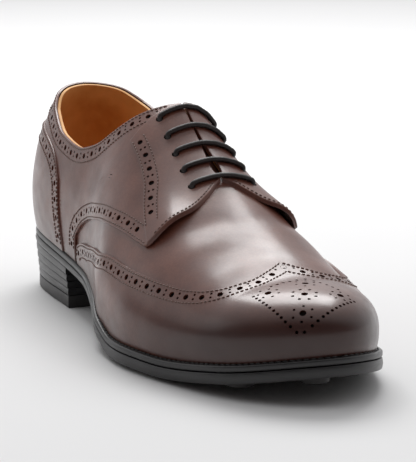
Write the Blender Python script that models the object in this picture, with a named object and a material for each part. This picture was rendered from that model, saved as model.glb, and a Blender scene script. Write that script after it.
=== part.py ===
"""Wingtip derby brogue, the right shoe, empty and standing on its studded sole.

The origin is on the floor under the middle of the heel, +X runs to the toe, -Y to the
outer (lateral) side and +Z up. Lengths are in metres.

A place on the upper is given by its side, its share "along" the shoe from heel back to
toe, and its share "up" the section there, from the welt to the ridge of the last. Behind
HEEL_PIVOT and ahead of TOE_PIVOT the sections fan round a pivot on the middle line.
"""

import math

import bmesh
import bpy
import numpy as np
from mathutils import Vector

# Driving dimensions
LENGTH = 0.302  # sole, heel back to toe tip
BALL_WIDTH = 0.104
INSTEP_HEIGHT = 0.106  # floor to the top of the lacing
HEEL_HEIGHT = 0.0312  # floor to the top of the welt at the heel back
TOE_SPRING = 0.0117
SOLE = 0.0051
WELT = 0.0030
WELT_REACH = 0.0024  # how far the welt runs in under the upper's edge
STUD_HEIGHT = 0.0018
STUD_RADIUS = 0.0066
INSOLE = 0.0025
WALL = 0.0018  # upper leather with its lining
OVERLAY = 0.0012
COUNTER = 0.0018
TONGUE = 0.0020
LACE_RADIUS = 0.0012
EYELET_RADIUS = 0.0017
TOP_PIECE = 0.0065  # rubber at the foot of the heel
GROOVE_WIDTH = 0.0015
GROOVE_DEPTH = 0.0010
GAP = 0.0003  # between pieces that touch
SEAT = 0.0004  # between two sheets of the upper
LACE_GAP = 0.0006
TONGUE_SEAT = 0.0010  # between the vamp and the tongue's foot
SEAM_GAP = 0.0004  # between the edges of two overlays

TOE_LEDGE = 0.0040  # welt showing beyond the upper at the forefoot
HEEL_LEDGE = 0.0024
EDGE_ROUND = 0.0006  # sole and welt edges
HEEL_TAPER = 0.0016  # how much narrower the heel is at the floor
STAND_OFF = 0.0022  # front edge of the quarter, clear of the vamp
STAND_OFF_RUN = 0.030  # how far behind that edge the quarter starts to rise
BLOCK_DEPTH = 0.0045  # each way off the last, for the blocks that cut the overlays
SLOT_TOP, SLOT_FOOT = 0.0012, 0.0030  # half widths of the opening between the facings
EYELET_TOP, EYELET_FOOT = 0.0125, 0.0145  # from the middle line to the eyelets
TONGUE_HALF_WIDTH = 0.022

LATERAL, MEDIAL = -1, 1
HEEL_REST = 0.13  # share of LENGTH that lies over the origin
HEEL_PIVOT, TOE_PIVOT = 0.115, 0.865
HEEL_BREAST = 0.265
THROAT = 0.605  # where the facings end over the vamp
LACING_TOP = 0.455
TONGUE_TOP, TONGUE_FOOT = 0.435, 0.700
EYELET_FIRST, EYELET_LAST = 0.608, 0.472  # along, from the throat to the top
BACK_SEAM = 1e-5  # share of LENGTH where each quarter starts behind the heel
COUNTER_FOOT = 0.248  # where the counter's front edge meets the welt
BELOW_FOOT = -0.03  # a block starts below the foot of the sheet that it cuts
BARS = 5
HEEL_LIFTS = 4
BELLY = 0.18  # share of "up" at which the wall stands upright
STATIONS = 32  # on each side, for soles and upper
EXTRA_STATIONS = (0.4400, 0.4560, 0.5900, THROAT)  # where the upper's edge turns
ROWS = 10  # up the upper
ROW_MERGE = 0.4  # share of a row's height below which it joins the upper's edge

# Half widths of the sole, as shares of BALL_WIDTH
OUTLINE = np.array([
    # along, lateral, medial
    (0.00, 0.000, 0.000),
    (0.03, 0.196, 0.196),
    (0.08, 0.290, 0.290),
    (0.15, 0.322, 0.330),
    (0.25, 0.338, 0.318),
    (0.35, 0.358, 0.272),
    (0.45, 0.420, 0.262),
    (0.55, 0.504, 0.330),
    (0.65, 0.528, 0.440),
    (0.72, 0.500, 0.480),
    (0.80, 0.436, 0.474),
    (0.88, 0.352, 0.418),
    (0.94, 0.238, 0.325),
    (0.98, 0.105, 0.220),
    (1.00, -0.060, 0.060),
])

# Shares of the heel's rise, of TOE_SPRING and of SOLE
PROFILE = np.array([
    # along, heel, toe, thickness
    (0.00, 1.00, 0.00, 0.70),
    (0.12, 0.95, 0.00, 0.70),
    (0.25, 0.83, 0.00, 0.66),
    (0.40, 0.62, 0.00, 0.62),
    (0.54, 0.22, 0.00, 0.88),
    (0.62, 0.00, 0.00, 1.00),
    (0.75, 0.00, 0.00, 1.00),
    (0.88, 0.00, 0.35, 1.00),
    (1.00, 0.00, 1.00, 1.00),
])

# Heights as shares of INSTEP_HEIGHT, widths as shares of BALL_WIDTH. A fullness of 2
# makes the section above the belly an ellipse, and a higher one makes it squarer.
SECTIONS = np.array([
    # along, ridge height, ridge to medial, belly out, belly height, lateral, medial fullness
    (0.000, 1.100, 0.000, 0.018, 0.18, 1.80, 1.8),
    (0.120, 1.100, 0.000, 0.018, 0.18, 1.70, 2.0),
    (0.200, 1.120, 0.000, 0.016, 0.18, 1.70, 2.0),
    (0.300, 1.130, 0.010, 0.010, 0.17, 1.70, 2.0),
    (0.380, 1.090, 0.020, 0.006, 0.15, 1.75, 2.1),
    (0.455, 1.010, 0.025, 0.004, 0.14, 1.80, 2.2),
    (0.530, 0.865, 0.028, 0.006, 0.13, 1.80, 2.3),
    (0.607, 0.735, 0.030, 0.010, 0.12, 1.80, 2.2),
    (0.700, 0.600, 0.035, 0.012, 0.10, 1.90, 2.1),
    (0.785, 0.500, 0.040, 0.012, 0.09, 2.00, 2.1),
    (0.865, 0.430, 0.045, 0.010, 0.08, 2.20, 2.3),
    (1.000, 0.430, 0.045, 0.008, 0.07, 2.60, 2.6),
])

# Height of the collar's edge, as shares of INSTEP_HEIGHT
TOPLINE = np.array([
    # along, lateral, medial
    (0.00, 0.965, 0.965),
    (0.05, 0.945, 0.945),
    (0.12, 0.870, 0.880),
    (0.20, 0.790, 0.810),
    (0.28, 0.765, 0.790),
    (0.34, 0.800, 0.820),
    (0.39, 0.880, 0.890),
    (0.43, 0.965, 0.965),
    (0.46, 1.020, 1.020),
])

# Rear edge of the wing-shaped toe cap, with its peak on the ridge
WING_EDGE = np.array([
    # up, along
    (0.00, 0.318),
    (0.08, 0.322),
    (0.13, 0.345),
    (0.17, 0.392),
    (0.30, 0.510),
    (0.39, 0.588),
    (0.43, 0.655),
    (0.47, 0.722),
    (0.52, 0.780),
    (0.57, 0.806),
    (0.67, 0.826),
    (0.79, 0.832),
    (0.91, 0.820),
    (1.00, 0.804),
])

# Front edge of the quarter: the rounded seam over the vamp, the corner, the facing's front
QUARTER_EDGE = np.array([
    # up, along
    (0.00, 0.310),
    (0.12, 0.315),
    (0.18, 0.331),
    (0.23, 0.349),
    (0.28, 0.384),
    (0.33, 0.440),
    (0.39, 0.491),
    (0.45, 0.539),
    (0.49, 0.578),
    (0.52, 0.616),
    (0.54, 0.645),
    (0.65, 0.655),
    (0.76, 0.652),
    (0.88, 0.634),
    (0.97, 0.612),
    (1.00, 0.606),
])

# Top edge of the heel counter, from the back seam to its front corner
COUNTER_TOP = np.array([
    # along, up
    (0.000, 0.500),
    (0.060, 0.490),
    (0.110, 0.470),
    (0.160, 0.435),
    (0.200, 0.385),
    (0.226, 0.320),
])

# Places of the sole's studs
STUDS = [
    # along, share of the half width from the middle line, side
    (0.925, 0.00, MEDIAL),
    (0.865, 0.62, LATERAL),
    (0.865, 0.62, MEDIAL),
    (0.830, 0.04, MEDIAL),
    (0.785, 0.66, LATERAL),
    (0.785, 0.66, MEDIAL),
    (0.740, 0.00, MEDIAL),
    (0.700, 0.66, LATERAL),
    (0.700, 0.66, MEDIAL),
    (0.650, 0.06, LATERAL),
    (0.615, 0.66, LATERAL),
    (0.615, 0.62, MEDIAL),
]
HEEL_STUDS = [
    # along, share of the half width, side
    (0.060, 0.00, MEDIAL),
    (0.205, 0.50, LATERAL),
    (0.205, 0.50, MEDIAL),
]


def angle_of(along):
    """The angle round a half circle over the shoe's length, which rounds the two ends."""
    return np.arccos(1 - 2 * np.clip(along, 0, 1))


def along_of(angle):
    return (1 - np.cos(angle)) / 2


def smooth(table, column, at, of=np.asarray):
    """A table's column at any place, on a curve through its rows that never overshoots."""
    x, y, at = of(table[:, 0]), table[:, column], of(np.asarray(at, float))
    step = np.diff(x)
    rise = np.diff(y) / step
    same = rise[:-1] * rise[1:] > 0
    slope = np.zeros(len(x))
    slope[1:-1][same] = 2 / (1 / rise[:-1][same] + 1 / rise[1:][same])
    slope[0], slope[-1] = rise[0], rise[-1]
    i = np.clip(np.searchsorted(x, at, side="right") - 1, 0, len(x) - 2)
    t = np.clip((at - x[i]) / step[i], 0, 1)
    start, end = slope[i] * step[i], slope[i + 1] * step[i]
    lift = y[i + 1] - y[i]
    return y[i] + t * (start + t * (3 * lift - 2 * start - end + t * (start + end - 2 * lift)))


def on_side(table, side, lateral, at, of=np.asarray):
    """A table's lateral column, or on the medial side the column after it."""
    return np.where(np.asarray(side) < 0, smooth(table, lateral, at, of), smooth(table, lateral + 1, at, of))


def ball_height():
    """Floor to the top of the welt at the ball."""
    return STUD_HEIGHT + SOLE + GAP + WELT


def welt_top(along):
    rise = HEEL_HEIGHT - ball_height()
    return ball_height() + rise * smooth(PROFILE, 1, along) + TOE_SPRING * smooth(PROFILE, 2, along)


def sole_top(along):
    return welt_top(along) - WELT - GAP


def sole_bottom(along):
    return sole_top(along) - SOLE * smooth(PROFILE, 3, along)


def station_x(along):
    return (along - HEEL_REST) * LENGTH


def half_width(side, along):
    return BALL_WIDTH * on_side(OUTLINE, side, 1, along, angle_of)


def edge(side, along, inset=0.0):
    """A point of the sole's outline seen from above, moved inwards by the inset."""
    angle = angle_of(along)

    def at(angle):
        along = along_of(angle)
        return station_x(along), side * half_width(side, along)

    (x, y), small = at(angle), 1e-3
    before, after = at(np.maximum(angle - small, 0)), at(np.minimum(angle + small, math.pi))
    at_tip = (angle < small) | (angle > math.pi - small)
    run_x, run_y = np.where(at_tip, 0, after[0] - before[0]), after[1] - before[1]
    length = np.hypot(run_x, run_y)
    return x + side * inset * run_y / length, y - side * inset * run_x / length


def ledge(along):
    return HEEL_LEDGE + (TOE_LEDGE - HEEL_LEDGE) * np.clip((along - 0.45) / 0.2, 0, 1)


def section(side, along):
    """The foot of a section, its pivot, and what shapes it above."""
    foot_x, foot_y = edge(side, along, ledge(along))
    pivot = np.clip(along, HEEL_PIVOT, TOE_PIVOT)
    pivot_x, pivot_y = station_x(pivot), BALL_WIDTH * smooth(SECTIONS, 2, pivot)
    reach = np.hypot(foot_x - pivot_x, foot_y - pivot_y)
    toward = (foot_x - pivot_x) / reach, (foot_y - pivot_y) / reach
    ridge = INSTEP_HEIGHT * smooth(SECTIONS, 1, pivot)
    out = BALL_WIDTH * smooth(SECTIONS, 3, along)
    foot = welt_top(along) + GAP
    belly = foot + INSTEP_HEIGHT * smooth(SECTIONS, 4, along)
    power = 2 / on_side(SECTIONS, side, 5, along)
    return (pivot_x, pivot_y), toward, reach, out, foot, belly, ridge, power


def rib(shape, up):
    """Distance from the pivot and height, at a share up the section."""
    _, _, reach, out, foot, belly, ridge, power = shape
    low = np.minimum(up / BELLY, 1)
    turn = np.clip((up - BELLY) / (1 - BELLY), 0, 1) * math.pi / 2
    away = (reach + out) * np.clip(np.cos(turn), 0, 1) ** power - out * (1 - low) ** 2
    height = foot + (belly - foot) * low + (ridge - belly) * np.sin(turn) ** power
    return away, height


def on_last(side, along, up, lift=0.0):
    """Points on the last, or lifted off it at right angles within their sections."""
    side, along, up, lift = np.broadcast_arrays(side, along, up, lift)
    shape = section(side, along)
    away, height = rib(shape, up)
    small = 1e-3
    (low_away, low_height), (high_away, high_height) = (
        rib(shape, np.minimum(up + step, 1)) for step in (-small, small)
    )
    out = np.where(up < 1 - small, high_height - low_height, 0)
    rise = np.maximum(low_away - high_away, 0)
    size = np.hypot(out, rise)
    away = away + lift * out / size
    height = height + lift * rise / size
    foot = shape[4]
    height = np.where(up < 0, height, np.maximum(height, foot))
    (pivot_x, pivot_y), toward = shape[:2]
    return np.stack([pivot_x + toward[0] * away, pivot_y + toward[1] * away, height], axis=-1)


def up_at_distance(side, along, distance):
    """How far up a section comes within this distance of the ridge."""
    _, _, reach, out, _, _, _, power = section(side, along)
    turn = np.arccos(np.clip(distance / (reach + out), 0, 1) ** (1 / power))
    return BELLY + (1 - BELLY) * turn / (math.pi / 2)


def up_at_height(side, along, height):
    _, _, _, _, _, belly, ridge, power = section(side, along)
    turn = np.arcsin(np.clip((height - belly) / (ridge - belly), 0, 1) ** (1 / power))
    return BELLY + (1 - BELLY) * turn / (math.pi / 2)


def top_edge(side, along, opening):
    """The collar's edge, and the edge of the opening down the front."""
    height = INSTEP_HEIGHT * on_side(TOPLINE, side, 1, along)
    collar = np.where(along < TOPLINE[-1, 0], up_at_height(side, along, height), 1)
    return np.minimum(collar, up_at_distance(side, along, opening))


def opening_between_facings(along):
    return SLOT_TOP + (SLOT_FOOT - SLOT_TOP) * np.clip((along - LACING_TOP) / (THROAT - LACING_TOP), 0, 1)


def opening_in_upper(along):
    """As between the facings, closing to nothing at the throat."""
    left = np.clip((THROAT - along) / 0.02, 0, 1)
    return opening_between_facings(along) * left


def material(name, colour, roughness, metallic=0.0):
    made = bpy.data.materials.new(name)
    made.use_nodes = True
    shader = made.node_tree.nodes["Principled BSDF"]
    shader.inputs["Base Color"].default_value = (*colour, 1)
    shader.inputs["Roughness"].default_value = roughness
    shader.inputs["Metallic"].default_value = metallic
    return made


def mesh_object(name, points, faces, finish):
    mesh = bpy.data.meshes.new(name)
    mesh.from_pydata([tuple(map(float, p)) for p in points], [], faces)
    made = bpy.data.objects.new(name, mesh)
    bpy.context.scene.collection.objects.link(made)
    form = bmesh.new()
    form.from_mesh(mesh)
    bmesh.ops.remove_doubles(form, verts=form.verts, dist=1e-6)
    bmesh.ops.dissolve_degenerate(form, edges=form.edges, dist=1e-6)
    form.to_mesh(mesh)
    form.free()
    mesh.shade_smooth()
    mesh.set_sharp_from_angle(angle=math.radians(35))
    if finish:
        mesh.materials.append(finish)
    return made


def leather(name, finish, side, along, up, inner, outer):
    """A sheet of leather between two lifts off the last, from grids of places.

    Rows run up and columns run from the lateral heel round the toe, so that faces point
    out. Places that meet, as on the ridge, become one.
    """
    skin = on_last(side, along, up, outer).reshape(-1, 3)
    lining = on_last(side, along, up, inner).reshape(-1, 3)
    _, first, index = np.unique(np.round(skin, 7), axis=0, return_index=True, return_inverse=True)
    count = len(first)
    index = index.reshape(along.shape)
    faces, used = [], {}
    for row in range(index.shape[0] - 1):
        for column in range(index.shape[1] - 1):
            corners = (
                index[row, column],
                index[row, column + 1],
                index[row + 1, column + 1],
                index[row + 1, column],
            )
            for picked in ((0, 1, 2), (0, 2, 3)):
                face = [int(corners[i]) for i in picked]
                if len(set(face)) < 3:
                    continue
                faces.append(face)
                for a, b in zip(face, face[1:] + face[:1]):
                    used[a, b] = True
    rim = [(a, b) for a, b in used if (b, a) not in used]
    faces += [[c + count for c in reversed(face)] for face in faces]
    faces += [[b, a, a + count, b + count] for a, b in rim]
    return mesh_object(name, np.concatenate([skin[first], lining[first]]), faces, finish)


def swept(name, finish, stations, rings, hollow=False):
    """A sole layer from rings of (inset, height), listed from its top edge outwards and down.

    A hollow one is a closed band; any other has its two faces filled across the shoe.
    """
    count = len(stations)
    points = []
    for inset, height in rings:
        for side in (LATERAL, MEDIAL):
            x, y = edge(side, stations, inset)
            points += list(np.stack([x, y, height(stations)], axis=-1))
    faces = []
    loop = list(range(count)) + list(range(2 * count - 1, count - 1, -1))
    pairs = list(zip(range(len(rings)), range(1, len(rings))))
    pairs += [(len(rings) - 1, 0)] if hollow else []
    for top, bottom in pairs:
        for a, b in zip(loop, loop[1:] + loop[:1]):
            faces.append([a + 2 * count * i for a, i in ((a, top), (a, bottom), (b, bottom), (b, top))])
    if not hollow:
        last = 2 * count * (len(rings) - 1)
        for i in range(count - 1):
            faces.append([i, i + 1, count + i + 1, count + i])
            faces.append([last + c for c in (count + i, count + i + 1, i + 1, i)])
    return mesh_object(name, points, faces, finish)


def heights(function, add=0.0):
    return lambda stations: function(stations) + add


def along_between(start, end, count):
    """Stations that crowd towards the rounded ends of the shoe."""
    return along_of(np.linspace(angle_of(start), angle_of(end), count))


def all_stations():
    return np.union1d(along_between(0, 1, STATIONS), EXTRA_STATIONS)


def disc(centre, radius, low, high, sides=16, hole=0.0):
    """A round of rubber, or with a hole the ring that cuts a groove, as one closed mesh."""
    form = bmesh.new()
    x, y = centre
    profile = [(hole, low), (radius, low), (radius, high), (hole, high)]
    rings = []
    for away, z in profile:
        turns = [2 * math.pi * i / sides for i in range(sides)]
        if away == 0:
            rings.append([form.verts.new((x, y, z))] * sides)
        else:
            rings.append([form.verts.new((x + away * math.cos(t), y + away * math.sin(t), z)) for t in turns])
    closing = [(3, 0)] if hole else []
    for a, b in [(0, 1), (1, 2), (2, 3)] + closing:
        for i in range(sides):
            j = (i + 1) % sides
            corners = [rings[a][i], rings[a][j], rings[b][j], rings[b][i]]
            form.faces.new(list(dict.fromkeys(corners)))
    bmesh.ops.recalc_face_normals(form, faces=form.faces)
    return form


def joined(name, forms):
    """A hidden helper that holds several closed shapes for one Boolean."""
    whole = bpy.data.meshes.new(name)
    gathered = bmesh.new()
    for form in forms:
        piece = bpy.data.meshes.new(name + "_piece")
        form.to_mesh(piece)
        form.free()
        gathered.from_mesh(piece)
        bpy.data.meshes.remove(piece)
    gathered.to_mesh(whole)
    gathered.free()
    made = bpy.data.objects.new(name, whole)
    bpy.context.scene.collection.objects.link(made)
    made.hide_render = True
    made.display_type = "WIRE"
    return made


def boolean(target, other, operation, solver="EXACT"):
    modifier = target.modifiers.new(other.name, "BOOLEAN")
    modifier.operation = operation
    modifier.object = other
    modifier.solver = solver


def stud_place(along, share, side):
    middle = (half_width(MEDIAL, along) - half_width(LATERAL, along)) / 2
    reach = (half_width(MEDIAL, along) + half_width(LATERAL, along)) / 2
    return float(station_x(along)), float(middle + side * share * reach)


def build_outsole(rubber):
    stations = all_stations()
    rings = [
        (EDGE_ROUND, heights(sole_top)),
        (0, heights(sole_top, -EDGE_ROUND)),
        (0, heights(sole_bottom, EDGE_ROUND)),
        (EDGE_ROUND, heights(sole_bottom)),
    ]
    outsole = swept("outsole", rubber, stations, rings)
    studs = []
    for along, share, side in STUDS:
        foot = float(sole_bottom(along)) - STUD_HEIGHT
        studs.append(disc(stud_place(along, share, side), STUD_RADIUS, foot, foot + STUD_HEIGHT + SOLE / 3))
    boolean(outsole, joined("stud_forms", studs), "UNION")


def build_heel(rubber, stack):
    stations = along_between(0, HEEL_BREAST, 14)

    def level(share):
        return lambda along: TOP_PIECE + share * (sole_bottom(along) - TOP_PIECE)

    for lift in range(HEEL_LIFTS):
        low, high = lift / HEEL_LIFTS, (lift + 1) / HEEL_LIFTS
        inset = HEEL_TAPER * (1 - high) + GAP
        rings = [(inset, heights(level(high), -GAP)), (inset + HEEL_TAPER / HEEL_LIFTS, level(low))]
        swept(f"heel_lift_{lift + 1}", stack, stations, rings)
    rings = [
        (HEEL_TAPER, lambda along: 0 * along + TOP_PIECE - GAP),
        (HEEL_TAPER + GAP, lambda along: 0 * along + EDGE_ROUND),
        (HEEL_TAPER + GAP + EDGE_ROUND, lambda along: 0 * along),
    ]
    top_piece = swept("heel_top_piece", rubber, stations, rings)
    grooves = []
    for along, share, side in HEEL_STUDS:
        place = stud_place(along, share, side)
        radius = STUD_RADIUS + GROOVE_WIDTH
        grooves.append(disc(place, radius, -GROOVE_DEPTH, GROOVE_DEPTH, 18, STUD_RADIUS))
    boolean(top_piece, joined("groove_forms", grooves), "DIFFERENCE")


def build_welt_and_insole(welt_finish, insole_finish):
    stations = all_stations()
    inner = ledge(stations) + WELT_REACH
    rings = [
        (inner, welt_top),
        (EDGE_ROUND, welt_top),
        (0, heights(welt_top, -EDGE_ROUND)),
        (0, heights(welt_top, -WELT)),
        (inner, heights(welt_top, -WELT)),
    ]
    swept("welt", welt_finish, stations, rings, hollow=True)
    rings = [(inner + GAP, heights(welt_top, INSOLE)), (inner + GAP, heights(sole_top, GAP))]
    swept("insole", insole_finish, stations, rings)


def round_the_shoe():
    """Places for the upper's sheets: columns from the lateral heel round the toe, rows up."""
    stations = all_stations()
    side = np.repeat((LATERAL, MEDIAL), len(stations))
    along = np.concatenate([stations, stations[::-1]])
    top = top_edge(side, along, opening_in_upper(along))
    up = np.linspace(0, 1, ROWS)[:, None]
    up = np.where(up > top - ROW_MERGE / ROWS, top, up)
    return np.broadcast_arrays(side, along, up)


def build_upper(finish):
    return leather("upper", finish, *round_the_shoe(), -WALL, 0.0)


def block_of(name, region):
    """A hidden block through the sheets over a region of the last."""
    block = leather(name, None, *region, -BLOCK_DEPTH, BLOCK_DEPTH)
    block.hide_render = True
    block.display_type = "WIRE"
    return block


def overlay(name, finish, lift, thickness, region):
    """A sheet over the upper, on the same flats, cut to a region's block."""
    sheet = leather(name, finish, *round_the_shoe(), lift, lift + thickness)
    boolean(sheet, block_of(name + "_block", region), "INTERSECT", "MANIFOLD")
    return sheet


def build_toe_cap(finish, rows=14, columns=18):
    up = np.linspace(BELOW_FOOT, 1, rows)[:, None]
    start = angle_of(smooth(WING_EDGE, 1, up))
    angle = start + np.linspace(0, 1, columns) * (math.pi - start)
    along = along_of(np.concatenate([angle, angle[:, ::-1]], axis=1))
    side = np.repeat((LATERAL, MEDIAL), columns)
    return overlay("toe_cap", finish, SEAT, OVERLAY, np.broadcast_arrays(side, along, up))


def counter_places(grow=0.0, rows=6, columns=9):
    """Places under the counter's top edge, which may be grown to clear its neighbours."""
    row = np.linspace(0, 1, rows)[:, None]
    share = np.abs(np.linspace(-1, 1, 2 * columns - 1))
    corner = COUNTER_TOP[-1, 0]
    front = COUNTER_FOOT + (corner - COUNTER_FOOT) * row**2 + grow / LENGTH
    along = along_of(share * angle_of(front))
    top = smooth(COUNTER_TOP, 1, along_of(share * angle_of(corner))) + grow / INSTEP_HEIGHT
    up = BELOW_FOOT + row * (top - BELOW_FOOT)
    side = np.repeat((MEDIAL, LATERAL), (columns, columns - 1))
    return np.broadcast_arrays(side, along, up)


def build_counter(finish):
    return overlay("heel_counter", finish, SEAT, COUNTER, counter_places())


def quarter_places(side, rows, columns):
    """Places between the back seam, the opening down the front and the quarter's front edge."""
    share_up = np.linspace(0, 1, rows)[:, None]
    share_along = np.linspace(0, 1, columns)

    def up_of(along):
        top = up_at_distance(side, along, opening_between_facings(along))
        return BELOW_FOOT + share_up * (top - BELOW_FOOT)

    def target(along):
        return BACK_SEAM + share_along * (smooth(QUARTER_EDGE, 1, up_of(along)) - BACK_SEAM)

    low, high = np.zeros((rows, columns)), np.ones((rows, columns))
    for _ in range(40):
        middle = (low + high) / 2
        short = middle < target(middle)
        low, high = np.where(short, middle, low), np.where(short, high, middle)
    return high, up_of(high)


def stand_off(along, up):
    """The quarter's front edge springs clear of the vamp over the middle of its run."""
    behind = (smooth(QUARTER_EDGE, 1, up) - along) * LENGTH
    near_front = np.clip(1 - behind / STAND_OFF_RUN, 0, 1) ** 2
    return STAND_OFF * near_front * np.sin(math.pi * np.clip((up - 0.50) / 0.36, 0, 1)) ** 2


def build_quarter(name, finish, side, rows=13, columns=20):
    along, up = quarter_places(side, rows, columns)
    if side == MEDIAL:
        along, up = along[:, ::-1], up[:, ::-1]
    _, all_along, all_up = round_the_shoe()
    lift = SEAT + stand_off(all_along, all_up)
    quarter = overlay(name, finish, lift, OVERLAY, (np.full(along.shape, side), along, up))
    boolean(quarter, block_of(name + "_counter_block", counter_places(SEAM_GAP)), "DIFFERENCE")
    return quarter


def lace_lift():
    """Middle of the lace where it crosses over the facings."""
    return SEAT + OVERLAY + LACE_GAP + LACE_RADIUS


def hidden_lace_lift():
    return -(WALL + LACE_GAP + LACE_RADIUS)


def build_tongue(finish, rows=8, columns=9):
    """It hangs clear of the lace under the facings, and is sewn to the vamp in front."""
    along = np.linspace(TONGUE_TOP, TONGUE_FOOT, rows)[:, None]
    across = np.linspace(-1, 1, columns)
    side = np.where(across < 0, LATERAL, MEDIAL)
    up = up_at_distance(side, along, TONGUE_HALF_WIDTH * np.abs(across))
    deep = hidden_lace_lift() - LACE_RADIUS - GAP
    seat = -WALL - TONGUE_SEAT
    share = np.clip((along - THROAT - 0.02) / (TONGUE_FOOT - THROAT - 0.04), 0, 1)
    lift = deep + (seat - deep) * share
    grids = np.broadcast_arrays(side, along, up, lift - TONGUE, lift)
    side, along, up, inner, outer = (grid.T for grid in grids)
    return leather("tongue", finish, side, along, up, inner, outer)


def eyelets():
    """Along and distance from the middle line of each pair, from the throat upwards."""
    share = np.linspace(0, 1, BARS)
    along = EYELET_FIRST + share * (EYELET_LAST - EYELET_FIRST)
    return list(zip(along, EYELET_FOOT + share * (EYELET_TOP - EYELET_FOOT)))


def cut_eyelets(pieces):
    forms = {piece.name: [] for piece in pieces}
    for along, away in eyelets():
        for side in (LATERAL, MEDIAL):
            up = up_at_distance(side, along, away)
            foot, head = (Vector(on_last(side, along, up, lift)) for lift in (-0.004, 0.004))
            for piece in pieces:
                form = bmesh.new()
                bmesh.ops.create_cone(
                    form,
                    cap_ends=True,
                    segments=8,
                    radius1=EYELET_RADIUS,
                    radius2=EYELET_RADIUS,
                    depth=(head - foot).length,
                )
                turn = Vector((0, 0, 1)).rotation_difference(head - foot).to_matrix().to_4x4()
                turn.translation = (head + foot) / 2
                bmesh.ops.transform(form, matrix=turn, verts=form.verts)
                forms[piece.name].append(form)
    for piece in pieces:
        boolean(piece, joined(piece.name + "_eyelet_forms", forms[piece.name]), "DIFFERENCE")


def lace_route():
    """One lace in straight bars, running up under the facings from each bar to the next."""
    over, under = lace_lift(), hidden_lace_lift()
    route, side = [], LATERAL
    pairs = eyelets()
    for bar, (along, away) in enumerate(pairs):
        for here, order in ((side, 1), (-side, -1)):
            up = up_at_distance(here, along, away)
            stops = [(up, under), (up, 0.4 * under), (up, 0.7 * over), (up + 0.012, over)]
            stops += [(up + (1 - up) * share, over) for share in (0.35, 0.70)]
            if order == 1:
                stops.append((1.0, over))
            route += [on_last(here, along, u, lift) for u, lift in stops[::order]]
        side = -side
        if bar + 1 < len(pairs):
            next_along, next_away = pairs[bar + 1]
            for share in (0.33, 0.67):
                between = along + share * (next_along - along)
                up = up_at_distance(side, between, away + share * (next_away - away))
                route.append(on_last(side, between, up, under - GAP / 2))
    return route


def build_lace(finish):
    curve = bpy.data.curves.new("lace", "CURVE")
    curve.dimensions = "3D"
    curve.bevel_depth = LACE_RADIUS
    curve.bevel_resolution = 1
    curve.use_fill_caps = True
    route = lace_route()
    spline = curve.splines.new("POLY")
    spline.points.add(len(route) - 1)
    for point, place in zip(spline.points, route):
        point.co = (*map(float, place), 1)
    curve.materials.append(finish)
    bpy.context.scene.collection.objects.link(bpy.data.objects.new("lace", curve))


def main():
    for old in list(bpy.data.objects):
        bpy.data.objects.remove(old, do_unlink=True)
    brown = material("brown_leather", (0.085, 0.038, 0.030), 0.38)
    tan = material("tan_lining", (0.52, 0.24, 0.07), 0.60)
    black = material("black_edge", (0.012, 0.011, 0.012), 0.35)
    rubber = material("sole_rubber", (0.030, 0.026, 0.025), 0.60)
    cotton = material("waxed_lace", (0.014, 0.010, 0.010), 0.55)
    build_outsole(rubber)
    build_heel(rubber, black)
    build_welt_and_insole(black, tan)
    upper = build_upper(brown)
    build_toe_cap(brown)
    build_counter(brown)
    quarters = [
        build_quarter("quarter_lateral", brown, LATERAL),
        build_quarter("quarter_medial", brown, MEDIAL),
    ]
    cut_eyelets([upper, *quarters])
    build_tongue(brown)
    build_lace(cotton)


main()
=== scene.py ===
"""Looks of the wingtip derby brogue, the right shoe: polished brown calf on a black welted sole.

A place on the upper is a side, a share "along" the shoe from heel back to toe and a share
"up" the section there, as in the solids that these pieces stand for. Lengths are in metres.
"""

import math

import bmesh
import bpy
import numpy as np
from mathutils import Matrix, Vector


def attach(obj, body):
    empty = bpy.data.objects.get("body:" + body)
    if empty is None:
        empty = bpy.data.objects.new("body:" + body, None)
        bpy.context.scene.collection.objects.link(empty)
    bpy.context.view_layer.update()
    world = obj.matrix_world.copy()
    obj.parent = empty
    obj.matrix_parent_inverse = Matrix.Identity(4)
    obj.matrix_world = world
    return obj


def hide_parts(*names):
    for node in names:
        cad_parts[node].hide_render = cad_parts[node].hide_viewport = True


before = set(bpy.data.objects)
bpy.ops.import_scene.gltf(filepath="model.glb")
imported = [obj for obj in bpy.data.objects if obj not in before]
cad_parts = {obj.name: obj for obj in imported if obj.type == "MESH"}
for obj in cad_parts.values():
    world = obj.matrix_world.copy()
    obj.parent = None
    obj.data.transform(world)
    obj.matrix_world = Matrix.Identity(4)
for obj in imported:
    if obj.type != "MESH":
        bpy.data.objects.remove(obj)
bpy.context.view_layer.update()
ROOT = "root"

# Driving dimensions, as in the solids
LENGTH = 0.302
BALL_WIDTH = 0.104
INSTEP_HEIGHT = 0.106
HEEL_HEIGHT = 0.0312
TOE_SPRING = 0.0117
SOLE = 0.0051
WELT = 0.0030
WELT_REACH = 0.0024
STUD_HEIGHT = 0.0018
STUD_RADIUS = 0.0066
INSOLE = 0.0025
WALL = 0.0018
LACE_RADIUS = 0.0012
EYELET_RADIUS = 0.0018
TONGUE = 0.0020
TOP_PIECE = 0.0065
GAP = 0.0003
SEAT = 0.0004
OVERLAY = 0.0012
LACE_GAP = 0.0006
TONGUE_SEAT = 0.0010
TOE_LEDGE = 0.0040
HEEL_LEDGE = 0.0024
HEEL_TAPER = 0.0016
STAND_OFF = 0.0028
STAND_OFF_RUN = 0.030
SLOT_TOP, SLOT_WIDEST = 0.0005, 0.0019
EYELET_TOP, EYELET_FOOT = 0.0125, 0.0145
TONGUE_HALF_WIDTH = 0.022
TONGUE_SWELL = 0.0030

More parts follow.
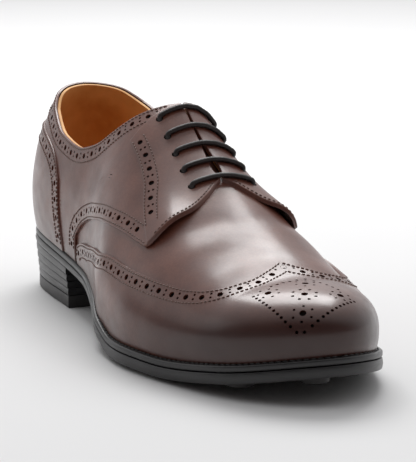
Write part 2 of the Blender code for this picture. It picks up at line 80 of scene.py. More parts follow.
LATERAL, MEDIAL = -1, 1
HEEL_REST = 0.13
HEEL_PIVOT, TOE_PIVOT = 0.115, 0.865
HEEL_BREAST = 0.265
THROAT = 0.605
LACING_TOP = 0.455
TONGUE_TOP, TONGUE_FOOT = 0.435, 0.700
EYELET_FIRST, EYELET_LAST = 0.608, 0.472
BACK_SEAM = 1e-5
EYESTAY_BACK = 0.4585
COUNTER_FOOT = 0.248
LEVEL_ROWS = 0.35  # a quarter's rows are level up to here, and follow its top above
BARS = 5
HEEL_LIFTS = 4
BELLY = 0.18
LEDGE_FROM, LEDGE_RUN = 0.45, 0.20  # along, where the heel's ledge widens to the toe's
SPRING_FROM, SPRING_RUN = 0.50, 0.36  # up, where the quarter's front edge stands off
THROAT_RUN = 0.02
SLOPE_STEP = 1e-3  # an angle or a share, small enough for a slope

# Lifts of the outer faces off the last
LINING_LIFT = -0.0004
LINING_BACK = 0.0012  # the lining's edge lies this far behind the slot's
VAMP_LIFT = 0.0
QUARTER_LIFT = 0.0013
EYESTAY_LIFT = 0.0020
CAP_LIFT = 0.0014
COUNTER_LIFT = 0.0021

# Lifts of the inner faces off the last
VAMP_INSIDE = -0.0006
QUARTER_INSIDE = 0.00005
CAP_INSIDE = 0.00005
COUNTER_INSIDE = 0.0008
EYESTAY_INSIDE = QUARTER_LIFT - 0.0002

# Broguing
MEDALLION_PLACE = (0.2405, -0.0010)
MEDALLION_FACING = (0.50, -0.12, 0.86)
MEDALLION_TURN = -30
MEDALLION_STRETCH = (0.93, 1.02)
MEDALLION_CLEAR = 1.7  # holes nearer to an earlier one than this are left out, in millimetres
PUNCH_LARGE = 0.00140
PUNCH_SMALL = 0.00062
PUNCH_PITCH = 0.0088
PAIR_APART = 0.0011  # a small hole from its row's middle
STITCH = 0.0021
STITCH_RADIUS = 0.00028
STITCH_SIDES = 6
WELT_STITCH = 0.0030
WELT_STITCH_RADIUS = 0.00032
PLAIT = 0.0036  # a turn of the lace's plait
PLAIT_DEPTH = 0.07  # as a share of the lace's radius

# Borders: two seams and the punched row between them, as distances in from the edge,
# then what stays free at both ends of the seams, and of the punched row
BORDERS = {
    "wing": ((0.0011, 0.0070), 0.0041, (0.002, 0.0002), (0.006, 0.0)),
    "counter": ((0.0011, 0.0072), 0.0042, (0.001, 0.002), (0.004, 0.006)),
    "collar": ((0.0012, 0.0076), 0.0045, (0.002, 0.001), (0.006, 0.002)),
    "lobe": ((0.0012, 0.0076), 0.0045, (0.001, 0.001), (0.003, 0.012)),
    "eyestay": ((0.0010, 0.0072), 0.0041, (0.0015, 0.003), (0.005, 0.010)),
}

OUTLINE = np.array([
    # along, lateral, medial
    (0.00, 0.000, 0.000),
    (0.03, 0.196, 0.196),
    (0.08, 0.290, 0.290),
    (0.15, 0.322, 0.330),
    (0.25, 0.338, 0.318),
    (0.35, 0.358, 0.272),
    (0.45, 0.420, 0.262),
    (0.55, 0.504, 0.330),
    (0.65, 0.528, 0.440),
    (0.72, 0.500, 0.480),
    (0.80, 0.436, 0.474),
    (0.88, 0.352, 0.418),
    (0.94, 0.238, 0.325),
    (0.98, 0.105, 0.220),
    (1.00, -0.060, 0.060),
])

PROFILE = np.array([
    # along, heel, toe, thickness
    (0.00, 1.00, 0.00, 0.70),
    (0.12, 0.95, 0.00, 0.70),
    (0.25, 0.83, 0.00, 0.66),
    (0.40, 0.62, 0.00, 0.62),
    (0.54, 0.22, 0.00, 0.88),
    (0.62, 0.00, 0.00, 1.00),
    (0.75, 0.00, 0.00, 1.00),
    (0.88, 0.00, 0.35, 1.00),
    (1.00, 0.00, 1.00, 1.00),
])

SECTIONS = np.array([
    # along, ridge height, ridge to medial, belly out, belly height, lateral, medial fullness
    (0.000, 1.100, 0.000, 0.018, 0.18, 1.80, 1.8),
    (0.120, 1.100, 0.000, 0.018, 0.18, 1.70, 2.0),
    (0.200, 1.120, 0.000, 0.016, 0.18, 1.70, 2.0),
    (0.300, 1.130, 0.010, 0.010, 0.17, 1.70, 2.0),
    (0.380, 1.090, 0.020, 0.006, 0.15, 1.75, 2.1),
    (0.455, 1.010, 0.025, 0.004, 0.14, 1.80, 2.2),
    (0.530, 0.865, 0.028, 0.006, 0.13, 1.80, 2.3),
    (0.607, 0.735, 0.030, 0.010, 0.12, 1.80, 2.2),
    (0.700, 0.600, 0.035, 0.012, 0.10, 1.90, 2.1),
    (0.785, 0.500, 0.040, 0.012, 0.09, 2.00, 2.1),
    (0.865, 0.430, 0.045, 0.010, 0.08, 2.20, 2.3),
    (1.000, 0.430, 0.045, 0.008, 0.07, 2.60, 2.6),
])

TOPLINE = np.array([
    # along, lateral, medial
    (0.00, 0.965, 0.965),
    (0.05, 0.945, 0.945),
    (0.12, 0.870, 0.880),
    (0.20, 0.790, 0.810),
    (0.28, 0.765, 0.790),
    (0.34, 0.800, 0.820),
    (0.39, 0.880, 0.890),
    (0.43, 0.965, 0.965),
    (0.46, 1.020, 1.020),
])

WING_EDGE = np.array([
    # up, along
    (0.00, 0.318),
    (0.08, 0.322),
    (0.13, 0.345),
    (0.17, 0.384),
    (0.30, 0.510),
    (0.39, 0.588),
    (0.43, 0.655),
    (0.47, 0.722),
    (0.52, 0.780),
    (0.57, 0.806),
    (0.67, 0.826),
    (0.79, 0.832),
    (0.91, 0.820),
    (1.00, 0.804),
])

QUARTER_EDGE = np.array([
    # up, along
    (0.00, 0.310),
    (0.12, 0.315),
    (0.18, 0.331),
    (0.23, 0.349),
    (0.28, 0.384),
    (0.33, 0.440),
    (0.39, 0.491),
    (0.45, 0.539),
    (0.49, 0.578),
    (0.52, 0.616),
    (0.54, 0.645),
    (0.65, 0.655),
    (0.76, 0.652),
    (0.88, 0.634),
    (0.97, 0.612),
    (1.00, 0.606),
])

COUNTER_TOP = np.array([
    # along, up
    (0.000, 0.500),
    (0.060, 0.490),
    (0.110, 0.470),
    (0.160, 0.435),
    (0.200, 0.385),
    (0.226, 0.320),
])

# Outer edge of the eyestay, in metres from the middle line
EYESTAY_EDGE = np.array([
    # along, distance
    (0.440, 0.0250),
    (0.500, 0.0270),
    (0.545, 0.0300),
    (0.580, 0.0345),
    (0.660, 0.0420),
])

STUDS = [
    # along, share of the half width from the middle line, side
    (0.925, 0.00, MEDIAL),
    (0.865, 0.62, LATERAL),
    (0.865, 0.62, MEDIAL),
    (0.830, 0.04, MEDIAL),
    (0.785, 0.66, LATERAL),
    (0.785, 0.66, MEDIAL),
    (0.740, 0.00, MEDIAL),
    (0.700, 0.66, LATERAL),
    (0.700, 0.66, MEDIAL),
    (0.650, 0.06, LATERAL),
    (0.615, 0.66, LATERAL),
    (0.615, 0.62, MEDIAL),
]
HEEL_STUDS = [
    # along, share of the half width from the middle line, side
    (0.060, 0.00, MEDIAL),
    (0.205, 0.50, LATERAL),
    (0.205, 0.50, MEDIAL),
]

NAILS = (0.022, 0.075, 0.150, 0.235)  # along, on both sides of the heel
NAIL_INSET = 0.0075
SOLE_GROOVE = [
    # inset from the sole's edge, depth
    (0.0046, 0),
    (0.0050, 0.0007),
    (0.0062, 0.0007),
    (0.0066, 0),
]

# Soft troughs and ridges where the leather gives: a line on one side, its half width and depth
CREASES = [
    # side, along and up at the start, along and up at the end, half width, depth
    (LATERAL, 0.300, 0.30, 0.360, 0.46, 0.0075, 0.00045),
    (LATERAL, 0.385, 0.34, 0.415, 0.58, 0.0080, 0.00040),
    (LATERAL, 0.655, 0.50, 0.690, 0.96, 0.0065, 0.00040),
    (LATERAL, 0.700, 0.46, 0.730, 0.90, 0.0060, -0.00025),
    (MEDIAL, 0.300, 0.30, 0.350, 0.44, 0.0075, 0.00045),
    (MEDIAL, 0.400, 0.36, 0.430, 0.62, 0.0080, 0.00035),
    (MEDIAL, 0.655, 0.50, 0.690, 0.96, 0.0065, 0.00040),
]


def angle_of(along):
    return np.arccos(1 - 2 * np.clip(along, 0, 1))


def along_of(angle):
    return (1 - np.cos(angle)) / 2


def smooth(table, column, at, of=np.asarray):
    """A table's column at any place, on a curve through its rows that never overshoots."""
    x, y, at = of(table[:, 0]), table[:, column], of(np.asarray(at, float))
    step = np.diff(x)
    rise = np.diff(y) / step
    same = rise[:-1] * rise[1:] > 0
    slope = np.zeros(len(x))
    slope[1:-1][same] = 2 / (1 / rise[:-1][same] + 1 / rise[1:][same])
    slope[0], slope[-1] = rise[0], rise[-1]
    i = np.clip(np.searchsorted(x, at, side="right") - 1, 0, len(x) - 2)
    t = np.clip((at - x[i]) / step[i], 0, 1)
    start, end = slope[i] * step[i], slope[i + 1] * step[i]
    lift = y[i + 1] - y[i]
    return y[i] + t * (start + t * (3 * lift - 2 * start - end + t * (start + end - 2 * lift)))


def on_side(table, side, lateral, at, of=np.asarray):
    return np.where(np.asarray(side) < 0, smooth(table, lateral, at, of), smooth(table, lateral + 1, at, of))


def ball_height():
    return STUD_HEIGHT + SOLE + GAP + WELT


def welt_top(along):
    rise = HEEL_HEIGHT - ball_height()
    return ball_height() + rise * smooth(PROFILE, 1, along) + TOE_SPRING * smooth(PROFILE, 2, along)


def sole_top(along):
    return welt_top(along) - WELT - GAP


def sole_bottom(along):
    return sole_top(along) - SOLE * smooth(PROFILE, 3, along)


def station_x(along):
    return (along - HEEL_REST) * LENGTH


def half_width(side, along):
    return BALL_WIDTH * on_side(OUTLINE, side, 1, along, angle_of)


def edge(side, along, inset=0.0):
    """A point of the sole's outline seen from above, moved inwards by the inset."""
    angle = angle_of(along)

    def at(angle):
        along = along_of(angle)
        return station_x(along), side * half_width(side, along)

    x, y = at(angle)
    before = at(np.maximum(angle - SLOPE_STEP, 0))
    after = at(np.minimum(angle + SLOPE_STEP, math.pi))
    at_tip = (angle < SLOPE_STEP) | (angle > math.pi - SLOPE_STEP)
    run_x, run_y = np.where(at_tip, 0, after[0] - before[0]), after[1] - before[1]
    length = np.hypot(run_x, run_y)
    return x + side * inset * run_y / length, y - side * inset * run_x / length


def ledge(along):
    return HEEL_LEDGE + (TOE_LEDGE - HEEL_LEDGE) * np.clip((along - LEDGE_FROM) / LEDGE_RUN, 0, 1)


def section(side, along):
    """The foot of a section, its pivot, and what shapes it above."""
    foot_x, foot_y = edge(side, along, ledge(along))
    pivot = np.clip(along, HEEL_PIVOT, TOE_PIVOT)
    pivot_x, pivot_y = station_x(pivot), BALL_WIDTH * smooth(SECTIONS, 2, pivot)
    reach = np.hypot(foot_x - pivot_x, foot_y - pivot_y)
    toward = (foot_x - pivot_x) / reach, (foot_y - pivot_y) / reach
    ridge = INSTEP_HEIGHT * smooth(SECTIONS, 1, pivot)
    out = BALL_WIDTH * smooth(SECTIONS, 3, along)
    foot = welt_top(along) + GAP
    belly = foot + INSTEP_HEIGHT * smooth(SECTIONS, 4, along)
    power = 2 / on_side(SECTIONS, side, 5, along)
    return (pivot_x, pivot_y), toward, reach, out, foot, belly, ridge, power


def rib(shape, up):
    """Distance from the pivot and height, at a share up the section."""
    _, _, reach, out, foot, belly, ridge, power = shape
    low = np.minimum(up / BELLY, 1)
    turn = np.clip((up - BELLY) / (1 - BELLY), 0, 1) * math.pi / 2
    away = (reach + out) * np.clip(np.cos(turn), 0, 1) ** power - out * (1 - low) ** 2
    height = foot + (belly - foot) * low + (ridge - belly) * np.sin(turn) ** power
    return away, height


def on_last(side, along, up, lift=0.0):
    """Points on the last, or lifted off it at right angles within their sections."""
    side, along, up, lift = np.broadcast_arrays(side, along, up, lift)
    shape = section(side, along)
    away, height = rib(shape, up)
    low_away, low_height = rib(shape, up - SLOPE_STEP)
    high_away, high_height = rib(shape, np.minimum(up + SLOPE_STEP, 1))
    out = np.where(up < 1 - SLOPE_STEP, high_height - low_height, 0)
    rise = np.maximum(low_away - high_away, 0)
    size = np.hypot(out, rise)
    away = away + lift * out / size
    height = np.maximum(height + lift * rise / size, shape[4])
    (pivot_x, pivot_y), toward = shape[:2]
    return np.stack([pivot_x + toward[0] * away, pivot_y + toward[1] * away, height], axis=-1)


def up_at_distance(side, along, distance):
    """How far up a section comes within this distance of the ridge."""
    _, _, reach, out, _, _, _, power = section(side, along)
    turn = np.arccos(np.clip(distance / (reach + out), 0, 1) ** (1 / power))
    return BELLY + (1 - BELLY) * turn / (math.pi / 2)


def up_at_height(side, along, height):
    _, _, _, _, _, belly, ridge, power = section(side, along)
    turn = np.arcsin(np.clip((height - belly) / (ridge - belly), 0, 1) ** (1 / power))
    return BELLY + (1 - BELLY) * turn / (math.pi / 2)


def opening_between_facings(along):
    share = np.clip((along - LACING_TOP) / (THROAT - LACING_TOP), 0, 1)
    return SLOT_TOP + (SLOT_WIDEST - SLOT_TOP) * np.sin(math.pi * share**4.3)


def opening_in_upper(along):
    return opening_between_facings(along) * np.clip((THROAT - along) / THROAT_RUN, 0, 1)


def top_edge(side, along, opening):
    """The collar's edge, and the edge of the opening down the front."""
    height = INSTEP_HEIGHT * on_side(TOPLINE, side, 1, along)
    collar = np.where(along < TOPLINE[-1, 0], up_at_height(side, along, height), 1)
    return np.minimum(collar, up_at_distance(side, along, opening))


def stand_off(along, up):
    """The quarter's front edge springs clear of the vamp over the middle of its run."""
    behind = (smooth(QUARTER_EDGE, 1, up) - along) * LENGTH
    near_front = np.clip(1 - behind / STAND_OFF_RUN, 0, 1) ** 2
    return STAND_OFF * near_front * np.sin(math.pi * np.clip((up - SPRING_FROM) / SPRING_RUN, 0, 1)) ** 2


def relief(side, along, up):
    """The creases' troughs and ridges, as a lift of every layer alike."""
    side, along, up = np.broadcast_arrays(side, along, up)
    here = on_last(side, along, up)
    total = np.zeros(along.shape)
    for crease_side, along_0, up_0, along_1, up_1, width, depth in CREASES:
        share = np.linspace(0, 1, 9)
        line = on_last(crease_side, along_0 + share * (along_1 - along_0), up_0 + share * (up_1 - up_0))
        best, place = np.full(along.shape, 1.0), np.zeros(along.shape)
        for i in range(len(line) - 1):
            run = line[i + 1] - line[i]
            t = np.clip(((here - line[i]) @ run) / (run @ run), 0, 1)
            away = np.linalg.norm(here - line[i] - t[..., None] * run, axis=-1)
            nearer = away < best
            best, place = np.where(nearer, away, best), np.where(nearer, (i + t) / (len(line) - 1), place)
        fade = np.sin(math.pi * np.clip(0.1 + 0.8 * place, 0, 1)) * np.clip((1 - up) / 0.08, 0, 1)
        total -= np.where(side == crease_side, depth * fade * np.exp(-((best / width) ** 2)), 0)
    return total


def layer(lift, springs=False):
    """One face of a sheet, lifted off the last, creased, and sprung clear where the quarter is."""

    def face(side, along, up):
        spring = stand_off(along, up) if springs else 0
        return lift + spring + relief(side, along, up)

    return face


quarter_top = layer(QUARTER_LIFT, springs=True)
eyestay_top = layer(EYESTAY_LIFT, springs=True)
cap_top = layer(CAP_LIFT)
counter_top = layer(COUNTER_LIFT)
vamp_top = layer(VAMP_LIFT)


# Mesh helpers


def new_mesh(name, points, faces, finish, sharp=35, weld=False):
    """A piece shaded smooth, but for edges sharper than so many degrees."""
    mesh = bpy.data.meshes.new(name)
    mesh.from_pydata(np.asarray(points).tolist(), [], faces)
    if weld:
        form = bmesh.new()
        form.from_mesh(mesh)
        bmesh.ops.remove_doubles(form, verts=form.verts, dist=1e-6)
        bmesh.ops.dissolve_degenerate(form, edges=form.edges, dist=1e-7)
        form.to_mesh(mesh)
        form.free()
    else:
        mesh.validate()
    mesh.shade_smooth()
    mesh.set_sharp_from_angle(angle=math.radians(sharp))
    mesh.materials.append(finish)
    made = bpy.data.objects.new(name, mesh)
    bpy.context.scene.collection.objects.link(made)
    return made


def tube(base, rings, sides, capped=True):
    """Faces of a tube, from rings of points that follow each other from the base's index."""
    faces = []
    for ring in range(rings - 1):
        start = base + ring * sides
        for i in range(sides):
            a, b = start + i, start + (i + 1) % sides
            faces.append([a, b, b + sides, a + sides])
    if capped:
        end = base + (rings - 1) * sides
        faces.append(list(range(base, base + sides))[::-1])
        faces.append(list(range(end, end + sides)))
    return faces


def run_of(points):
    """The distance run along a path, at each of its points."""
    return np.concatenate([[0], np.cumsum(np.linalg.norm(np.diff(points, axis=0), axis=1))])


def at_runs(points, runs):
    """A path's places at these distances along it."""
    run = run_of(points)
    return np.stack([np.interp(runs, run, points[:, k]) for k in range(3)], axis=-1)


def crowded(count, edge_share, both=True):
    """Shares from 0 to 1 with extra ones close to the ends, for rounded edges."""
    near = edge_share * np.array([0, 0.12, 0.35, 0.65, 1.0])
    middle = np.linspace(edge_share, 1 - edge_share if both else 1, count)
    return np.concatenate([near[:-1], middle, 1 - near[:-1][::-1]] if both else [near[:-1], middle])


def run_from(points, axis, end):
    """Distance along the grid's lines from one of its four borders."""
    if end:
        return np.flip(run_from(np.flip(points, axis), axis, False), axis)
    steps = np.linalg.norm(np.diff(points, axis=axis), axis=-1)
    return np.concatenate([np.zeros_like(np.take(steps, [0], axis)), np.cumsum(steps, axis)], axis)


def sheet(name, finish, places, inner, outer, rounded, radius=0.0006):
    """A closed sheet of leather from grids of places, with the named borders rounded over.

    Rows run up and columns from the lateral heel round the toe. Places that meet become one.
    """
    side, along, up = np.broadcast_arrays(*places)
    inner = np.broadcast_to(inner(side, along, up) if callable(inner) else inner, along.shape)
    top = outer(side, along, up)
    flat = on_last(side, along, up)
    borders = {"foot": (0, False), "head": (0, True), "start": (1, False), "finish": (1, True)}
    away = np.full(along.shape, 1.0)
    for border in rounded:
        away = np.minimum(away, run_from(flat, *borders[border]))
    share = np.clip(away / radius, 0, 1)
    bulge = np.sqrt(1 - (1 - share) ** 2)
    depth = np.minimum(top - inner, radius)
    skin = on_last(side, along, up, top - depth * (1 - bulge)).reshape(-1, 3)
    lining = on_last(side, along, up, inner).reshape(-1, 3)
    met = np.round(flat.reshape(-1, 3), 7)
    _, first, index = np.unique(met, axis=0, return_index=True, return_inverse=True)
    index = index.reshape(along.shape)
    corners = np.stack([index[:-1, :-1], index[:-1, 1:], index[1:, 1:], index[1:, :-1]], axis=-1)
    faces = []
    used = set()
    for quad in corners.reshape(-1, 4).tolist():
        face = list(dict.fromkeys(quad))
        if len(face) < 3:
            continue
        faces.append(face)
        used.update(zip(face, face[1:] + face[:1]))
    count = len(first)
    rim = [(a, b) for a, b in used if (b, a) not in used]
    faces += [[c + count for c in reversed(face)] for face in faces]
    faces += [[b, a, a + count, b + count] for a, b in sorted(rim)]
    made = new_mesh(name, np.concatenate([skin[first], lining[first]]), faces, finish)
    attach(made, ROOT)
    return made


def swept(name, finish, stations, rings, hollow=False):
    """A sole layer from rings of (inset, height), from its top edge outwards and down."""
    count = len(stations)
    points = []
    for inset, height in rings:
        for side in (LATERAL, MEDIAL):
            x, y = edge(side, stations, inset)
            points += list(np.stack([x, y, height(stations) + 0 * x], axis=-1))
    faces = []
    loop = list(range(count)) + list(range(2 * count - 1, count - 1, -1))
    pairs = list(zip(range(len(rings)), range(1, len(rings))))
    pairs += [(len(rings) - 1, 0)] if hollow else []
    for top, bottom in pairs:
        for a, b in zip(loop, loop[1:] + loop[:1]):
            faces.append([c + 2 * count * i for c, i in ((a, top), (a, bottom), (b, bottom), (b, top))])
    if not hollow:
        last = 2 * count * (len(rings) - 1)
        for i in range(count - 1):
            faces.append([i, i + 1, count + i + 1, count + i])
            faces.append([last + c for c in (count + i, count + i + 1, i + 1, i)])
    made = new_mesh(name, points, faces, finish, 40, weld=True)
    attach(made, ROOT)
    return made


def at(function, add=0.0):
    return lambda stations: function(stations) + add


def turned(name, finish, profile, places, sides=28):
    """Copies of one turned form, its profile a list of (radius, height), at (x, y, z) places."""
    points, faces = [], []
    turns = np.linspace(0, 2 * math.pi, sides, endpoint=False)
    for x, y, z in places:
        faces += tube(len(points), len(profile), sides)
        for radius, height in profile:
            ring = [x + radius * np.cos(turns), y + radius * np.sin(turns), turns * 0 + z + height]
            points += list(np.stack(ring, -1))
    made = new_mesh(name, points, faces, finish)
    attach(made, ROOT)
    return made


def frame_at(side, along, up, lift):
    """Places on a surface with their tangents and normals, for an array of places."""
    here = on_last(side, along, up, lift)
    d_along = on_last(side, along + SLOPE_STEP, up, lift) - on_last(side, along - SLOPE_STEP, up, lift)
    step_up = np.minimum(up + SLOPE_STEP, 1)
    d_up = on_last(side, along, step_up, lift) - on_last(side, along, up - SLOPE_STEP, lift)
    normal = np.cross(d_along, d_up) * side[..., None] * -1
    normal /= np.linalg.norm(normal, axis=-1)[..., None]
    return here, d_along / (2 * SLOPE_STEP), d_up / (step_up - up + SLOPE_STEP)[..., None], normal


def walk(side, along, up, pitch, start=0.0, stop=0.0):
    """Places at an even pitch along a path over the last."""
    run = run_of(on_last(side, along, up))
    room = run[-1] - start - stop
    count = max(int(round(room / pitch)), 1)
    at_run = start + room * np.linspace(0, 1, count + 1)
    return np.interp(at_run, run, along), np.interp(at_run, run, up)


def offset(side, along, up, distance, turn=1):
    """A path moved sideways over the last, to its left for turn 1 as seen from outside."""
    sides = np.full(along.shape, side)
    first = on_last(sides, along, up)
    for _ in range(2):
        here, d_along, d_up, normal = frame_at(sides, along, up, 0.0)
        run = np.gradient(here, axis=0)
        run /= np.linalg.norm(run, axis=-1)[:, None]
        across = np.cross(normal, run) * turn * distance / 2
        a11, a12, a22 = (np.sum(p * q, -1) for p, q in ((d_along, d_along), (d_along, d_up), (d_up, d_up)))
        b1, b2 = np.sum(across * d_along, -1), np.sum(across * d_up, -1)
        det = a11 * a22 - a12 * a12
        along = along + (b1 * a22 - b2 * a12) / det
        up = np.clip(up + (a11 * b2 - a12 * b1) / det, 0.004, 0.9995)
    moved = on_last(sides, along, up)
    away = np.linalg.norm(moved[:, None] - first[None], axis=-1).min(axis=1)
    clear = away > 0.93 * distance
    return along[clear], up[clear]


def lifted(side, along, up, top):
    """Places on a face and their normals."""
    sides = np.full(np.shape(along), side)
    here, _, _, normal = frame_at(sides, along, up, top(sides, along, up))
    return here, normal


THREAD_RINGS = [
    # share of the stitch's length, share of its radius, height as a share of its radius
    (-0.50, 0.55, -0.9),
    (-0.34, 0.95, 0.35),
    (0.00, 1.00, 0.62),
    (0.34, 0.95, 0.35),
    (0.50, 0.55, -0.9),
]


class Stitches:
    """One piece with all the stitches of one kind."""

    def __init__(self, name, finish, length=STITCH, radius=STITCH_RADIUS, share=0.86, capped=True):
        """The share is what of a stitch's pitch its thread covers."""
        self.name, self.finish, self.length, self.radius = name, finish, length, radius
        self.share, self.capped = share, capped
        self.points, self.faces = [], []

    def row(self, side, along, up, top, start=0.0, stop=0.0):
        along, up = walk(side, along, up, self.length, start, stop)
        self.lay(*lifted(side, along, up, top))

    def lay(self, here, normal):
        """A stitch between each two places."""
        middle, out = (here[1:] + here[:-1]) / 2, (normal[1:] + normal[:-1]) / 2
        run = here[1:] - here[:-1]
        run /= np.linalg.norm(run, axis=1)[:, None]
        across = np.cross(out, run)
        turns = [2 * math.pi * i / STITCH_SIDES for i in range(STITCH_SIDES)]
        for centre, forward, sideways, outward in zip(middle, run, across, out):
            self.faces += tube(len(self.points), len(THREAD_RINGS), STITCH_SIDES, self.capped)
            for share, size, height in THREAD_RINGS:
                ring_at = centre + forward * share * self.length * self.share
                ring_at = ring_at + outward * height * self.radius
                for t in turns:
                    away = sideways * math.cos(t) + outward * math.sin(t)
                    self.points.append(ring_at + away * self.radius * size)

    def finish_piece(self):
        made = new_mesh(self.name, self.points, self.faces, self.finish, 60)
        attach(made, ROOT)


class Punches:
    """Holes to cut through one sheet, with painted shade at their feet."""

    def __init__(self):
        self.holes = []

    def add(self, here, normal, radius):
        for place, out in zip(here, normal):
            self.holes.append((place, out, radius))

    def row(self, side, along, up, top, start=0.0, stop=0.0):
        """Large holes at a pitch, and between each two of them a pair of small ones."""
        spots_along, spots_up = walk(side, along, up, PUNCH_PITCH, start, stop)
        here, normal = lifted(side, spots_along, spots_up, top)
        self.add(here, normal, PUNCH_LARGE)
        for turn in (1, -1):
            beside_along, beside_up = offset(side, spots_along, spots_up, PAIR_APART, turn)
            between_along = (beside_along[1:] + beside_along[:-1]) / 2
            between_up = (beside_up[1:] + beside_up[:-1]) / 2
            self.add(*lifted(side, between_along, between_up, top), PUNCH_SMALL)

    def shapes(self, name, finish, low, high, grow=1.0, sides=12):
        points, faces = [], []
        for place, out, radius in self.holes:
            out = Vector(out).normalized()
            first = out.orthogonal().normalized()
            second = out.cross(first)
            faces += tube(len(points), 2, sides)
            for lift in (low, high):
                for i in range(sides):
                    turn = 2 * math.pi * i / sides
                    spoke = first * math.cos(turn) + second * math.sin(turn)
                    points.append(Vector(place) + out * lift + spoke * radius * grow)
        return new_mesh(name, [tuple(p) for p in points], faces, finish)

    def cut(self, target, finish, thickness):
        """Cuts the holes through the target and lays near-black discs of painted shade under them, for the
        leather beneath in shade.
        """
        cutter = self.shapes(target.name + "_cutter", finish, -0.0032, 0.0020)
        modifier = target.modifiers.new("punch", "BOOLEAN")
        modifier.operation = "DIFFERENCE"
        modifier.solver = "MANIFOLD"
        modifier.object = cutter
        bpy.context.view_layer.update()
        shown = target.evaluated_get(bpy.context.evaluated_depsgraph_get())
        mesh = bpy.data.meshes.new_from_object(shown)
        target.modifiers.clear()
        target.data = mesh
        mesh.shade_smooth()
        mesh.set_sharp_from_angle(angle=math.radians(35))
        bpy.data.objects.remove(cutter, do_unlink=True)
        low, high = -thickness - 0.0002, -thickness + 0.0001
        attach(self.shapes(target.name + "_backing", finish, low, high, 1.15), ROOT)


# Materials


def shader(name, colour, roughness, coat=0.0, coat_roughness=0.2, specular=0.5, metallic=0.0):
    made = bpy.data.materials.new(name)
    made.use_nodes = True
    main = made.node_tree.nodes["Principled BSDF"]
    main.inputs["Base Color"].default_value = (*colour, 1)
    main.inputs["Roughness"].default_value = roughness
    main.inputs["Metallic"].default_value = metallic
    main.inputs["Specular IOR Level"].default_value = specular
    main.inputs["Coat Weight"].default_value = coat
    main.inputs["Coat Roughness"].default_value = coat_roughness
    return made, made.node_tree, main


NOISE, PORES = "ShaderNodeTexNoise", "ShaderNodeTexVoronoi"


def texture(tree, kind, scale, detail=3.0, stretch=(1, 1, 1)):
    """A grey texture that stays with the object."""
    mapping = tree.nodes.new("ShaderNodeMapping")
    mapping.inputs["Scale"].default_value = stretch
    coordinates = tree.nodes.new("ShaderNodeTexCoord").outputs["Object"]
    tree.links.new(coordinates, mapping.inputs["Vector"])
    node = tree.nodes.new(kind)
    node.inputs["Scale"].default_value = scale
    node.inputs["Detail"].default_value = detail
    tree.links.new(mapping.outputs["Vector"], node.inputs["Vector"])
    return node.outputs["Fac" if kind == NOISE else "Distance"]


def ramp(tree, source, low, high, low_value, high_value):
    """Maps a grey source from low to high onto two values, which may be colours."""
    node = tree.nodes.new("ShaderNodeValToRGB")
    node.color_ramp.elements[0].position = low
    node.color_ramp.elements[1].position = high
    for element, value in zip(node.color_ramp.elements, (low_value, high_value)):
        value = value if isinstance(value, tuple) else (value, value, value)
        element.color = (*value, 1)
    tree.links.new(source, node.inputs["Fac"])
    return node.outputs["Color"]


def mix(tree, share, first, second, blend="MIX"):
    node = tree.nodes.new("ShaderNodeMix")
    node.data_type = "RGBA"
    node.blend_type = blend
    for socket, value in ((node.inputs[0], share), (node.inputs[6], first), (node.inputs[7], second)):
        if isinstance(value, tuple):
            socket.default_value = (*value, 1)
        elif isinstance(value, float):
            socket.default_value = value
        else:
            tree.links.new(value, socket)
    return node.outputs[2]


def finish_of(name, colour, roughness, tint=None, wear=None, bumps=(), **gloss):
    """A material whose colour and roughness vary with textures, under a chain of bumps.

    Tint and wear are a texture, the greys it runs between and the values there. A bump is a
    texture, a strength and a distance.
    """
    made, tree, main = shader(name, colour, roughness, **gloss)
    for varied, socket in ((tint, "Base Color"), (wear, "Roughness")):
        if varied:
            source, *span = varied
            tree.links.new(ramp(tree, texture(tree, *source), *span), main.inputs[socket])
    into = main.inputs["Normal"]
    for source, strength, distance in reversed(bumps):
        node = tree.nodes.new("ShaderNodeBump")
        node.inputs["Strength"].default_value = strength
        node.inputs["Distance"].default_value = distance
        tree.links.new(texture(tree, *source), node.inputs["Height"])
        tree.links.new(node.outputs["Normal"], into)
        into = node.inputs["Normal"]
    return made, tree, main


CALF = (0.112, 0.033, 0.020)
CALF_DARK = (0.032, 0.007, 0.004)
CALF_LIGHT = (0.168, 0.056, 0.034)


def calf(name):
    """Polished brown calf, darker where the attribute says so: partly real burnish, partly painted shade."""
    grain = [((PORES, 1500), 0.10, 0.00012), ((NOISE, 260, 4), 0.12, 0.00030)]
    wear = ((NOISE, 120), 0.3, 0.7, 0.34, 0.46)
    made, tree, main = finish_of(name, CALF, 0.38, None, wear, grain, coat=0.50, specular=0.40)
    tone = ramp(tree, texture(tree, NOISE, 55, 4), 0.35, 0.68, CALF, CALF_LIGHT)
    specks = ramp(tree, texture(tree, NOISE, 900), 0.42, 0.60, (0.80, 0.78, 0.78), (1.0, 1.0, 1.0))
    attribute = tree.nodes.new("ShaderNodeAttribute")
    attribute.attribute_name = "burnish_and_shade"
    # The attribute mixes in the dark calf: real burnish and painted shade.
    darkened = mix(tree, attribute.outputs["Fac"], mix(tree, 0.6, tone, specks, "MULTIPLY"), CALF_DARK)
    tree.links.new(darkened, main.inputs["Base Color"])
    return made


def lining_leather(name):
    tint = ((NOISE, 60, 5), 0.3, 0.7, (0.66, 0.30, 0.080), (0.90, 0.50, 0.18))
    pores = [((PORES, 1100), 0.12, 0.00015)]
    return finish_of(name, (0.70, 0.34, 0.10), 0.55, tint, None, pores, specular=0.35)[0]


def painted_hole_shade(name):
    """Painted shade: near-black discs in the bottom of a punched hole, where the leather beneath lies in
    shade.
    """
    tint = ((NOISE, 300, 2), 0.3, 0.7, (0.004, 0.002, 0.002), (0.009, 0.005, 0.004))
    return finish_of(name, (0.006, 0.003, 0.003), 0.8, tint, specular=0.1)[0]


